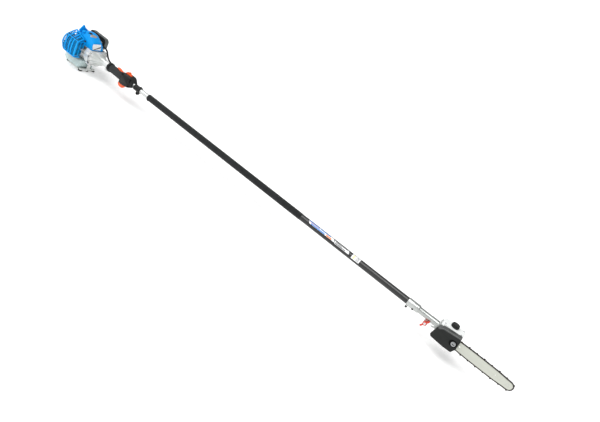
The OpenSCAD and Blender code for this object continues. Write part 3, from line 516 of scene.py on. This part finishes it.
bm = bmesh.new()
stations = [(-530, 5.0), (-529, 2.2), (-527, 0.8), (-524, 0)] + [(x, 0) for x in range(-518, -376, 6)]
stations += [(-376, 0.5), (-374.2, 1.4), (-373.2, 3.0), (-373, 4.6)]
loft(bm, [cover_ring(x, s) for x, s in stations])
bm.normal_update()
under = [f for f in bm.faces if all(abs(v.co.z - AXIS_Z - FOOT_Z * MM) < 2.2 * MM for v in f.verts)]
bmesh.ops.delete(bm, geom=under, context="FACES")
cover = piece("top_cover_shell", bm, [BLUE, LABEL_WHITE], "powerhead", ["top_cover"], thick=2.5, angle=40)
PLUG_X, PLUG_Y, PLUG_R = -453, -24, 10.4
plug_hole = bmesh.new()
lathe(plug_hole, [(90, PLUG_R + 0.4), (125, PLUG_R + 0.4)], at_z, PLUG_X, PLUG_Y, 32)
carve(cover, plug_hole)

# Fin across the crown, and the small ridge beside it
bm = bmesh.new()
fin = rounded([(-50, 84), (-66, 97), (-58, 106), (-47, 122), (-41, 131), (-36, 128), (-24, 114), (-6, 104),
               (0, 98)],
              [1, 4, 6, 6, 4, 6, 10, 3, 1], 5)
slab(bm, fin, at_x, -509, -501, 2.2)
slab(bm, rounded([(-56.5, 98), (-52, 98), (-47, 106), (-52, 106)], 1, 3), at_x, -490, -470, 0.6)
piece("cover_fin", bm, BLUE, "powerhead", angle=50)

bpy.context.view_layer.update()
crown = BVHTree.FromObject(cover, bpy.context.evaluated_depsgraph_get())


def on_crown(x, y, lift):
    """Point on the top of the cover below this place, raised by lift."""
    return crown.ray_cast(V(x, y, 200), Vector((0, 0, -1)))[0] + Vector((0, 0, lift * MM))


bm = bmesh.new()
beside = [on_crown(PLUG_X + 14 * math.cos(a), PLUG_Y + 14 * math.sin(a), 0).z for a in (0, 1.6, 3.1, 4.7)]
rim = max(beside) / MM - AXIS_Z / MM
lathe(bm, [(rim - 9, PLUG_R), (rim - 1.2, PLUG_R), (rim - 0.4, 9.6), (rim - 0.4, 6), (rim - 2, 5),
           (rim - 2, 0.2)],
      at_z, PLUG_X, PLUG_Y, 32)
piece("cover_plug", bm, BLACK, "powerhead", angle=50)

# Oval plate laid on the crown, and the sticker on the front face with its dark stripe
bm = bmesh.new()
ovals = []
for size, lift in [(0.03, 1), (0.15, 1), (0.3, 1), (0.45, 1), (0.6, 1), (0.75, 1), (0.88, 1), (0.97, 0.9),
                   (1.0, -1.5)]:
    turns = [2 * math.pi * k / 40 for k in range(40)]
    ovals.append([on_crown(-431 + size * (4.5 * math.cos(a) - 9 * math.sin(a)),
                           -16 + size * (22 * math.cos(a) + 6 * math.sin(a)), lift) for a in turns])
loft(bm, ovals)
piece("cover_badge", bm, BADGE, "powerhead", angle=60)
bm = bmesh.new()
slab(bm, rounded([(-48, 39), (10, 41), (13, 56), (9, 72), (-46, 70), (-50, 52)], 4, 4), at_x, -373.6, -372.3,
     0.3)
lean_front(bm)
piece("front_sticker", bm, LABEL_WHITE, "powerhead", angle=50)
bm = bmesh.new()
slab(bm, [(-46, 40), (-36, 40), (11, 54), (11, 61)], at_x, -372.6, -371.9)
lean_front(bm)
piece("front_sticker_stripe", bm, LABEL_BLACK, "powerhead", angle=50)

# ---- Muffler guard: a grid of slots wrapped round three sides ----

# z at the near face, rear x, rear corner's y, near y, z lift towards the cover
GUARD = [(-46, -536, -103, -106), (-38, -543, -107, -112), (-5, -560, -108, -112), (18, -559, -107, -112),
         (38, -554, -104, -112), (52, -546, -99, -109)]
ROOF = [(0.0, -546, -99, -109, 52, 52), (0.35, -540, -88, -94, 65, 58), (0.7, -533, -73, -78, 80, 64),
        (1.0, -525, -60, -60, 91, 68)]


def guard_point(u, v):
    """u runs from the rear wall round the near face to the front wall; v runs up, past 1 over the roof."""
    if v <= 1:
        z = -46 + v * 98
        rx, ry, ny = lerp_table(GUARD, z)
        zr = zf = z
        fx = -434
    else:
        rx, ry, ny, zr, zf = lerp_table(ROOF, v - 1)
        fx = -434 if v < 1.4 else -434 - (v - 1.4) * 18
    if u <= 1:
        a, b = Vector((rx - 1, -57.5 if v <= 1 else max(ry, -60) + 2, zr)), Vector((rx, ry, zr))
        p = a.lerp(b, u)
    elif u <= 2:
        t = u - 1
        bulge = math.sin(min(1, t * 6) * math.pi / 2)
        p = Vector((rx + (fx - rx) * t, ry + (ny - ry) * bulge, zr + (zf - zr) * t))
        if v > 1 and t < 0.55:
            p.z += (zr - p.z) * 0.5
    else:
        t = u - 2
        p = Vector((fx, ny, zf)).lerp(Vector((fx, -57.5, zf)), t)
    return V(p.x, p.y, p.z)


def marks(pattern):
    """Edges and open flags from (width, is_open) runs, scaled to 0..1."""
    total = sum(w for w, _ in pattern)
    edges, flags, at = [0.0], [], 0.0
    for w, is_open in pattern:
        at += w / total
        edges.append(at)
        flags.append(is_open)
    return edges, flags


# Solid and open runs: round the rear, near and front walls, then up the walls and over the roof
side_cols = marks([(6, 0), (18, 1), (4, 0), (18, 1), (7, 0)])
near_cols = marks([(7, 0), (20, 1), (8, 0), (22, 1), (8, 0), (13, 1), (8, 0), (22, 1), (8, 0)])
front_cols = marks([(6, 0), (13, 1), (3, 0), (13, 1), (6, 0)])
rows_low = marks([(7, 0)] + [(5.4, 1), (2.4, 0)] * 11 + [(1.5, 0)])
rows_roof = marks([(4, 0)] + [(6.5, 1), (2.6, 0)] * 4 + [(4, 0)])
us, open_u = [], []
for k, (edges, flags) in enumerate([side_cols, near_cols, front_cols]):
    us += [k + e for e in edges[:-1]]
    open_u += flags
us.append(3.0)
vs_, open_v = [], []
for k, (edges, flags) in enumerate([rows_low, rows_roof]):
    vs_ += [k + e for e in edges[:-1]]
    open_v += flags
vs_.append(2.0)
bm = bmesh.new()
grid = [[bm.verts.new(guard_point(u, v)) for u in us] for v in vs_]
for j in range(len(vs_) - 1):
    for i in range(len(us) - 1):
        if open_u[i] and (open_v[j] or 1 <= us[i] < 2 and 0.06 < vs_[j] < 0.97):
            continue
        if us[i] >= 2.6 and vs_[j] < 0.58:
            continue
        bm.faces.new((grid[j][i], grid[j][i + 1], grid[j + 1][i + 1], grid[j + 1][i]))
slats = bmesh.new()
for j in range(len(vs_) - 1):
    for i in range(len(us) - 1):
        if open_u[i] and 1 <= us[i] < 2 and not open_v[j] and 0.06 < vs_[j] < 0.97:
            q = [guard_point(u, v) + Vector((0, 0.0024, 0)) for u, v in
                 ((us[i] - 0.02, vs_[j]), (us[i + 1] + 0.02, vs_[j]), (us[i + 1] + 0.02, vs_[j + 1]),
                  (us[i] - 0.02, vs_[j + 1]))]
            slats.faces.new(ring_verts(slats, q))
piece("muffler_guard_slats", slats, BLUE, "powerhead", angle=35, thick=3.0, weld=False)
guard = piece("muffler_guard_grille", bm, BLUE, "powerhead", ["muffler_guard"], angle=35, thick=2.6)
edge_round(guard, 0.35, 1, 40)
bm = bmesh.new()
lathe(bm, [(-435, 4.2), (-431.5, 4.2), (-431, 3.4), (-431, 1.6), (-433, 1.4)], at_x, -62, 60, 24)
piece("guard_screw", bm, LABEL_BLACK, "powerhead", angle=50)
# Dark sheets behind the guard's slots and sloping under them: painted shade for the darkness inside the guard
bm = bmesh.new()
shade_plate_outline = rounded([(-546, -40), (-440, -42), (-440, 4), (-552, 4)], 5, 4)
slab(bm, shade_plate_outline, at_y, -103, -101.6, 0.4)
slab(bm, [(-103, -41), (-57, -20), (-57, -18), (-103, -39)], at_x, -540, -442, 0.4)
piece("muffler_painted_shade_plate", bm, SOOT, "powerhead", angle=50)

# ---- Air filter cover: domed, with a raised panel ----

bm = bmesh.new()
rim = rounded([(-556, 26), (-540, 22), (-427, 22), (-414, 40), (-414, 80), (-429, 94), (-540, 95),
               (-556, 84)],
              [14, 14, 16, 14, 14, 16, 16, 14], 5)
prof = [(66, 0), (67, 0.0), (84, 0.0), (89, 0.8), (95, 2.6), (99.5, 6), (102.3, 10.5), (103.6, 16), (104, 24)]
rings = [at_y([(x - d * 0.55 * max(0.0, (x + 500) / 90), z) for x, z in shrunk(rim, d)], y) for y, d in prof]
loft(bm, rings, cap0=False)
piece("air_filter_shell", bm, GREY, "powerhead", ["air_filter_cover"], thick=2.4, angle=40)
bm = bmesh.new()
panel = rounded([(-532, 44), (-446, 42), (-440, 66), (-450, 76), (-530, 76)], 8, 5)
slab(bm, panel, at_y, 102.8, 105.0, 1.0)
for k in range(3):
    slab(bm, rounded([(-520 + k * 28, 50), (-504 + k * 28, 50), (-504 + k * 28, 53), (-520 + k * 28, 53)],
                     1.2, 3),
         at_y, 104.8, 105.8, 0.5)
piece("air_filter_panel", bm, GREY, "powerhead", angle=50)

# ---- Fuel tank and stand ----

bm = bmesh.new()
side = rounded([(-566, -58), (-424, -54), (-424, -92), (-436, -111), (-548, -111), (-566, -98)],
               [14, 10, 14, 18, 16, 12], 6)
n = 15
rings = []
for k in range(n):
    t = k / (n - 1) * 2 - 1
    y = 56 * t - 4
    edge = max(0.0, abs(t) - 0.76) / 0.24
    d = 12 * (1 - math.sqrt(max(0.0, 1 - edge * edge)))
    rings.append(at_y(shrunk(side, d), y))
loft(bm, rings)
lathe(bm, [(44, 15), (71, 15)], at_y, -500, -78, 40)
piece("fuel_tank_body", bm, TANK, "powerhead", ["fuel_tank"], angle=60)

bm = bmesh.new()
slab(bm, rounded([(-550, -46), (-414, -46), (-414, 46), (-550, 46)], 12, 5), at_z, -115.5, -111.2, 1.2)
slab(bm, rounded([(-411.7, -12), (-408, -12), (-408, 12), (-411.7, 12)], 1, 3), at_z, -115, -62.5, 0.6)
slab(bm, rounded([(-429, -57), (-409, -57), (-409, 57), (-429, 57)], 8, 5), at_z, -115.5, -111.2, 1.2)
slab(bm, rounded([(-423.4, -55), (-409, -55), (-409, 55), (-423.4, 55)], 6, 5), at_z, -115, -101, 2.0)
piece("stand_plate", bm, CAST, "powerhead", ["tank_stand"], angle=50)
bm = bmesh.new()
for x0, x1, y in ((-548, -530, -46), (-548, -530, 28), (-428, -408, -57), (-428, -408, -10),
                  (-428, -408, 37)):
    slab(bm, rounded([(x0, y), (x1, y), (x1, y + 19), (x0, y + 19)], 5, 4), at_z, -119, -110.5, 1.6)
piece("stand_feet", bm, BLACK, "powerhead", angle=50)

# ---- Throttle cable ----

bm = bmesh.new()
CABLE_PATH = [(-436.6, 57, 50), (-424, 58, 50), (-411, 60, 50), (-398, 62, 49), (-386, 62.5, 45),
              (-374, 61.5, 39),
              (-360, 55, 32), (-345, 47, 26), (-328, 39, 20), (-310, 31, 16), (-291, 24, 14), (-275, 20, 13),
              (-259.6, 18.5, 12)]
sweep(bm, smooth_path(CABLE_PATH), 5.2)
piece("throttle_cable_sheath", bm, CABLE, "powerhead", ["throttle_cable"], angle=60)

# ---- Handle: a round knob on the near half, a seam line and grip ridges ----

bm = bmesh.new()
lathe(bm, [(-21.5, 10), (-22.6, 10), (-23, 9.4), (-23, 7.2), (-22.4, 6.6), (-22.4, 6.0), (-26.4, 6.0),
           (-27.4, 5.0),
           (-27.4, 0.4)], at_y, -66, 10, 40)
slab(bm, rounded([(-60, -12), (-45, -12), (-45, -8), (-60, -8)], 1.8, 3), at_y, -21.5, -23.4, 0.6)
slab(bm, rounded([(-118, -22), (-76, -19), (-76, -16.5), (-118, -19)], 1.1, 3), at_y, -21.5, -23.2, 0.5)
piece("handle_knob", bm, BLACK, "powerhead", angle=50, weld=False)
bm = bmesh.new()
for k in range(23):
    x = -238 + k * 4.2
    if -200 < x < -138:
        arc = range(16, 345, 8)
    else:
        arc = range(0, 361, 8)
    r = 22 + 2 * (x + 243) / 104 + 0.1
    vs = []
    for a in arc:
        q = math.radians(a)
        vs.append([bm.verts.new(V(x + dx, -(r + dr) * math.sin(q), (r + dr) * math.cos(q)))
                   for dx, dr in ((-1.2, -0.3), (-0.5, 0.55), (0.5, 0.55), (1.2, -0.3))])
    for a, b in zip(vs, vs[1:]):
        for i in range(3):
            bm.faces.new((a[i], a[i + 1], b[i + 1], b[i]))
piece("grip_ridges", bm, GRIP, "powerhead", angle=60, weld=False)

# ---- Cast ribs, collars and gasket line on the clutch housing ----

def spun(bm, verts, degrees):
    """Turns these vertices about the pole's axis."""
    turn = Matrix.Translation(V(0, 0, 0)) @ Matrix.Rotation(math.radians(degrees), 4,
                                                            "X") @ Matrix.Translation(-V(0, 0, 0))
    bmesh.ops.transform(bm, matrix=turn, verts=verts)


bm = bmesh.new()
rib = [(-368, 40), (-368, 61), (-364, 61), (-353, 47), (-337, 34.5), (-317, 24), (-297, 20), (-297, 12),
       (-330, 14)]
for a in (-118, -90, -58, -28, 28, 58, 90, 118, 150, 180, 210):
    before = set(bm.verts)
    slab(bm, rounded(rib, 1.2, 3), at_y, -1.5, 1.5, 0.7)
    spun(bm, [v for v in bm.verts if v not in before], a)
cut_off = [v for v in bm.verts if v.co.z - AXIS_Z > 33.2 * MM]
bmesh.ops.delete(bm, geom=cut_off, context="VERTS")
piece("clutch_housing_ribs", bm, CAST, "powerhead", angle=45, weld=False)
bm = bmesh.new()
for x0, x1, r in [(-262.5, -259.3, 19.6), (-298, -294, 19.2)]:
    lathe_ring(bm, [(x0, r - 3), (x0, r - 0.6), (x0 + 0.6, r), (x1 - 0.6, r), (x1, r - 0.6), (x1, r - 3)], 48)
piece("clutch_housing_collars", bm, CAST, "powerhead", angle=40)
bm = bmesh.new()
arc = range(-236, 57, 4)
outer = [(64.4 * math.cos(math.radians(a)), 64.4 * math.sin(math.radians(a))) for a in arc]
inner = [(61 * math.cos(math.radians(a)), 61 * math.sin(math.radians(a))) for a in reversed(arc)]
keep = [p for p in outer if p[1] < 33.3] + [p for p in inner if p[1] < 33.3]
slab(bm, keep, at_x, -373.1, -372.6)
piece("case_gasket", bm, LABEL_BLACK, "powerhead", angle=50)

# ---- Pole labels: plain blocks of colour wrapped on the tube ----

def wrap(bm, x0, x1, a0, a1, r, slant=0.0, seg=10):
    """Thin patch on a tube between two angles (0 is up, positive towards the near side)."""
    rows = []
    for k in range(seg + 1):
        a = math.radians(a0 + (a1 - a0) * k / seg)
        y, z = -r * math.sin(a), r * math.cos(a)
        shift = slant * k / seg
        rows.append((bm.verts.new(V(x0 + shift, y, z)), bm.verts.new(V(x1 + shift, y, z))))
    for a, b in zip(rows, rows[1:]):
        bm.faces.new((a[0], a[1], b[1], b[0]))


GROUND_R, PRINT_R = 17.18, 17.26  # just outside the outer tube, and just outside the label


def decal(name, mat, patches, r=GROUND_R):
    """One colour of a label, from its patches."""
    bm = bmesh.new()
    for p in patches:
        wrap(bm, *p[:4], r, *p[4:])
    piece(name, bm, mat, "powerhead", angle=60, weld=False)


decal("label_ground", LABEL_WHITE, [(1281, 1441, 4, 62, 12), (1449, 1539, 20, 72, 8)])
decal("label_band", LABEL_BLUE, [(1284, 1352, 6, 26, 4), (1357, 1420, 6, 24, 4), (1300, 1388, 38, 60, 5)],
      PRINT_R)
decal("label_flash", LABEL_ORANGE, [(1396, 1430, 34, 60, 6), (1290, 1350, 29, 34, 1)], PRINT_R)
decal("label_rule", LABEL_BLACK, [(1455, 1532, 24, 33, 1), (1458, 1500, 40, 48, 1), (1458, 1522, 54, 66, 2)],
      PRINT_R)
decal("maker_plate", LABEL_WHITE, [(1563, 1611, 2, 92)])
decal("maker_plate_block", LABEL_YELLOW, [(1570, 1580, 14, 80)], PRINT_R)
decal("maker_plate_lines", LABEL_BLACK, [(1590, 1606, a, a + 5) for a in range(14, 82, 12)], PRINT_R)

# ---- Sprocket cover: raised lip lightened as a painted highlight, a pale painted highlight line on it, and painted shade round the bar nut and across its face ----

# The tube clamp's rear end: places on the saw head are counted from it
CX = round((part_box("tube_clamp")[0].x) / MM)
BAR_Y = -48  # middle of the bar's thickness
NUT_X, SHADE_INNER_R = CX + 271, 11.2  # the bar nut's place, and the inner radius of the painted shade round it
# A real raised lip on the cover's top edge, coloured lighter as a painted highlight for the light it catches
bm = bmesh.new()
lip = [(CX + 176, 20), (CX + 197, 35), (CX + 284, 45.5), (CX + 286, 36), (CX + 203, 26), (CX + 184, 13)]
slab(bm, lip, at_y, -64.6, -40)
piece("sprocket_cover_lip", bm, COVER_EDGE_HIGHLIGHT, "saw_head", bevel=1.2, seg=3)
# A thin pale strip along the lip: painted highlight
bm = bmesh.new()
slab(bm, [(CX + 183, 22.5), (CX + 199, 33), (CX + 283, 43), (CX + 283, 41), (CX + 200, 31), (CX + 185, 21)],
     at_y, -65, -64)
piece("sprocket_cover_highlight_line", bm, COVER_HIGHLIGHT_LINE, "saw_head", bevel=0.25)
# A flat near-black crescent round the bar nut, widest towards the rear, and a near-black bar on the nut's
# face: painted shade for a recess and a slot
bm = bmesh.new()
for k in range(48):
    a = math.pi * 2 * k / 48
    b = math.pi * 2 * (k + 1) / 48
    wide = [4.4 + 6 * max(0.0, math.cos(t - math.radians(185))) ** 1.5 for t in (a, b)]
    q = [(NUT_X + r * math.cos(t), r * math.sin(t))
         for t, r in ((a, SHADE_INNER_R), (b, SHADE_INNER_R), (b, SHADE_INNER_R + wide[1]), (a, SHADE_INNER_R + wide[0]))]
    bm.faces.new(ring_verts(bm, at_y(q, -63.2)))
nut_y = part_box("bar_nut")[0].y / MM
nut_slot_shade = [(NUT_X - 7, -1.6), (NUT_X + 7, -1.6), (NUT_X + 7, 1.6), (NUT_X - 7, 1.6)]
slab(bm, rounded(nut_slot_shade, 0.8, 3), at_y, nut_y - 0.3, nut_y + 0.5)
piece("sprocket_cover_painted_shade", bm, PAINTED_SHADE, "saw_head", angle=50, weld=False)

# ---- Saw chain: links, rivets and cutters round the bar ----

NOSE_R, HALF = 17.5, 22.5  # the track's radius at the nose, and half its height along the bar
NOSE_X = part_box("guide_bar")[1].x / MM - NOSE_R
upper = [(CX + 222, 18.4), (CX + 265, 20), (CX + 360, HALF), (CX + 480, HALF - 1), (NOSE_X, NOSE_R)]
track = []
for (xa, za), (xb, zb) in zip(upper, upper[1:]):
    for k in range(24):
        track.append((xa + (xb - xa) * k / 24, za + (zb - za) * k / 24))
track += [(NOSE_X + NOSE_R * math.sin(a), NOSE_R * math.cos(a))
          for a in [math.pi * k / 30 for k in range(31)]]
track += [(x, -z) for x, z in reversed(track[:96])]
track += [(CX + 222 - 18.4 * math.sin(a), -18.4 * math.cos(a))
          for a in [math.pi * k / 24 for k in range(1, 24)]]
lengths = [0.0]
for a, b in zip(track, track[1:] + track[:1]):
    lengths.append(lengths[-1] + math.dist(a, b))
LOOP = lengths[-1]


def on_track(s):
    """Point and unit tangent at this distance along the loop."""
    s %= LOOP
    lo, hi = 0, len(track)
    while hi - lo > 1:
        mid = (lo + hi) // 2
        lo, hi = (mid, hi) if lengths[mid] <= s else (lo, mid)
    a, b = Vector(track[lo]), Vector(track[(lo + 1) % len(track)])
    t = (s - lengths[lo]) / max(1e-9, (b - a).length)
    return a.lerp(b, t), (b - a).normalized()


def link_plate(bm, s, outline, y0, y1, soft=0.25):
    """A flat plate in the chain's own axes: along the track and out from it."""
    p0, _ = on_track(s - 4)
    p1, _ = on_track(s + 4)
    t = (p1 - p0).normalized()
    mid = (p0 + p1) / 2
    out = Vector((-t.y, t.x))
    slab(bm, [tuple(mid + t * a + out * b) for a, b in outline], at_y, y0, y1, soft, 1)


# Side views of the chain's parts: along the track, then out from it
TIE = rounded([(-7.2, 0.6), (7.2, 0.6), (7.6, 3.2), (6.2, 5.9), (2, 5.2), (-2, 5.2), (-6.2, 5.9),
               (-7.6, 3.2)], 1.4, 2)
DRIVE = rounded([(-6.8, 0.2), (6.8, 0.2), (6.6, 4.6), (3, 6.2), (-3, 6.2), (-6.6, 4.6)], 1.4, 2)
CUTTER = [(-7.4, 0.6), (7.4, 0.6), (7.6, 3.6), (6.8, 7.2), (4.6, 7.6), (3.6, 5.2), (1.2, 4.6), (-0.6, 9.2),
          (-7.0, 8.2),
          (-7.6, 3.4)]
links = round(LOOP / 9.5 / 8) * 8
pitch = LOOP / links
dark, bright = bmesh.new(), bmesh.new()
for k in range(links):
    s = k * pitch
    if k % 2:
        link_plate(dark, s, DRIVE, BAR_Y - 0.75, BAR_Y + 0.75)
        continue
    side_of = {0: -1, 4: 1}.get(k % 8)
    for sy in (-1, 1):
        y0, y1 = BAR_Y + sy * 1.7, BAR_Y + sy * 2.8
        if sy == side_of:
            link_plate(bright, s, CUTTER, min(y0, y1), max(y0, y1) + 0.1)
            link_plate(bright, s, [(-7.0, 7.4), (-0.8, 8.5), (-0.6, 9.3), (-7.0, 8.3)],
                       BAR_Y - 3.4 if sy < 0 else BAR_Y - 0.4, BAR_Y + 0.4 if sy < 0 else BAR_Y + 3.4, 0.1)
        else:
            link_plate(dark, s, TIE, min(y0, y1), max(y0, y1))
    for d in (-4.75, 4.75):
        link_plate(bright, s, [(d + 1.5 * math.cos(2 * math.pi * j / 10),
                                3 + 1.5 * math.sin(2 * math.pi * j / 10))
                               for j in range(10)], BAR_Y - 3.3, BAR_Y + 3.3, 0.3)
piece("chain_links", dark, CHAIN, "saw_head", ["saw_chain"], angle=35, weld=False)
piece("chain_cutters", bright, CHROME_TOP, "saw_head", angle=35, weld=False)

# ---- Rivets of the bar's nose sprocket ----

bm = bmesh.new()
for k in range(5):
    a = 2 * math.pi * k / 5
    lathe(bm, [(BAR_Y - 2.35, 1.0), (BAR_Y - 2.2, 1.4), (BAR_Y + 2.2, 1.4), (BAR_Y + 2.35, 1.0)], at_y,
          NOSE_X - 6 + 6 * math.cos(a), 6 * math.sin(a), 12)
piece("bar_nose_rivets", bm, STEEL, "saw_head", angle=50)

# ---- Screws on the oil tank ----

bm = bmesh.new()
for x, y in [(CX + 192, -28), (CX + 275, -28), (CX + 275, 22)]:
    lathe(bm, [(39.9, 4.2), (41.6, 4.2), (42.2, 3.4), (42.2, 1.8), (41, 1.6)], at_z, x, y, 24)
piece("head_bolts", bm, BRIGHT, "saw_head", angle=50)

# ---- Cap nut on the clamp's wing knob ----

bm = bmesh.new()
lathe(bm, [(-22.6, 6.6), (-24.2, 6.6), (-24.6, 6.2), (-24.6, 4.6)], at_y, CX + 120, -29, 6)
lathe(bm, [(-24.4, 3.4), (-26.4, 3.4), (-26.8, 2.8), (-26.8, 0.3)], at_y, CX + 120, -29, 24)
piece("wing_knob_nut", bm, BRIGHT, "wing_knob", angle=40)

# ---- Starter rope: a straight braid out from the pulley, on no body ----

ROPE_X, ROPE_Z, ROPE_START, ROPE_LENGTH, ROPE_R = -516, -25, 2, 65.5, 1.8
bm = bmesh.new()
sweep(bm, [V(ROPE_X, ROPE_START + ROPE_LENGTH * k / 40, ROPE_Z) for k in range(41)], ROPE_R, 12)
rope = piece("starter_rope_braid", bm, ROPE, None, angle=60)
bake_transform(rope)
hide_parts("starter_rope")

for node, (mat, width) in KEPT.items():
    finish_cad(node, mat, width)


# ---- Floor, light and camera ----

def stage_material(name, rgb, glow):
    m = bpy.data.materials.new(name)
    m.use_nodes = True
    b = m.node_tree.nodes["Principled BSDF"]
    b.inputs["Base Color"].default_value = (*rgb, 1)
    b.inputs["Roughness"].default_value = 0.9
    b.inputs["Emission Color"].default_value = (1, 1, 1, 1)
    b.inputs["Emission Strength"].default_value = glow
    return m


def stage_sheet(name, corners, mat):
    bm = bmesh.new()
    bm.faces.new(ring_verts(bm, [Vector(c) for c in corners]))
    me = bpy.data.meshes.new(name)
    bm.to_mesh(me)
    bm.free()
    o = bpy.data.objects.new(name, me)
    bpy.context.scene.collection.objects.link(o)
    me.materials.append(mat)


FLOOR_GAP, FLOOR_GLOW, WORLD_GLOW = 0.0005, 0.27, 0.35  # metres below the part, then emission strengths
WALL_TOP, HALF_ROOM, MIDDLE_X = 40, (91, 90), 1  # metres
low = cad_lo.z - FLOOR_GAP
edge = [(MIDDLE_X + sx * HALF_ROOM[0], sy * HALF_ROOM[1]) for sx, sy in ((-1, -1), (1, -1), (1, 1), (-1, 1))]
stage_sheet("floor", [(x, y, low) for x, y in edge],
            stage_material("floor_white", (0.9, 0.9, 0.9), FLOOR_GLOW))
pale = stage_material("backdrop_white", (0.02, 0.02, 0.02), 1.0)
for k, (a, b) in enumerate(zip(edge, edge[1:] + edge[:1])):
    stage_sheet("backdrop_%d" % k, [(*a, low), (*b, low), (*b, WALL_TOP), (*a, WALL_TOP)], pale)

world = bpy.data.worlds.new("studio")
bpy.context.scene.world = world
world.use_nodes = True
world.node_tree.nodes["Background"].inputs["Color"].default_value = (1, 1, 1, 1)
world.node_tree.nodes["Background"].inputs["Strength"].default_value = WORLD_GLOW


def area_light(name, place, target, size, power):
    data = bpy.data.lights.new(name, "AREA")
    data.shape = "DISK"
    data.size, data.energy = size, power
    o = bpy.data.objects.new(name, data)
    bpy.context.scene.collection.objects.link(o)
    o.location = place
    o.rotation_mode = "QUATERNION"
    o.rotation_quaternion = (Vector(target) - Vector(place)).to_track_quat("-Z", "Y")


SKY_POWER, SKY_SPREAD, SKY_AIM = 2.3, math.radians(50), (0.42, 0.45, -1)
sky = bpy.data.lights.new("sky", "SUN")
sky.energy, sky.angle = SKY_POWER, SKY_SPREAD
sky_lamp = bpy.data.objects.new("sky", sky)
bpy.context.scene.collection.objects.link(sky_lamp)
sky_lamp.rotation_mode = "QUATERNION"
sky_lamp.rotation_quaternion = Vector(SKY_AIM).to_track_quat("-Z", "Y")
area_light("key", place=(1.6, -2.6, 4.2), target=(0.9, 0, 0), size=1.6, power=14)

# The camera looks down at the pole by TILT, turns back along it by TURN, up off it by SLIP, and rolls by ROLL
TILT, TURN, SLIP, ROLL = (math.radians(a) for a in (25, 18.5, 0.39291, 38.11828))
CAMERA_X, CAMERA_AWAY, LENS, SENSOR = 2129, 2744, 34.56, 36  # mm
along = Vector((1, 0, 0))
across = Vector((0, -math.sin(TILT), -math.cos(TILT)))
inward = Vector((0, math.cos(TILT), -math.sin(TILT)))
right0 = along * math.cos(TURN) + inward * math.sin(TURN)
look0 = inward * math.cos(TURN) - along * math.sin(TURN)
look = look0 * math.cos(SLIP) - across * math.sin(SLIP)
down0 = across * math.cos(SLIP) + look0 * math.sin(SLIP)
cam_right = right0 * math.cos(ROLL) - down0 * math.sin(ROLL)
cam_down = right0 * math.sin(ROLL) + down0 * math.cos(ROLL)
camera_data = bpy.data.cameras.new("camera")
camera_data.lens, camera_data.sensor_width = LENS, SENSOR
camera_data.clip_start, camera_data.clip_end = 0.05, 1000
camera = bpy.data.objects.new("camera", camera_data)
bpy.context.scene.collection.objects.link(camera)
camera.rotation_mode = "QUATERNION"
camera.rotation_quaternion = Matrix((cam_right, -cam_down, -look)).transposed().to_quaternion()
camera.location = V(CAMERA_X, -CAMERA_AWAY * math.cos(TILT), CAMERA_AWAY * math.sin(TILT))
bpy.context.scene.camera = camera
bpy.context.scene.view_settings.view_transform = "Standard"
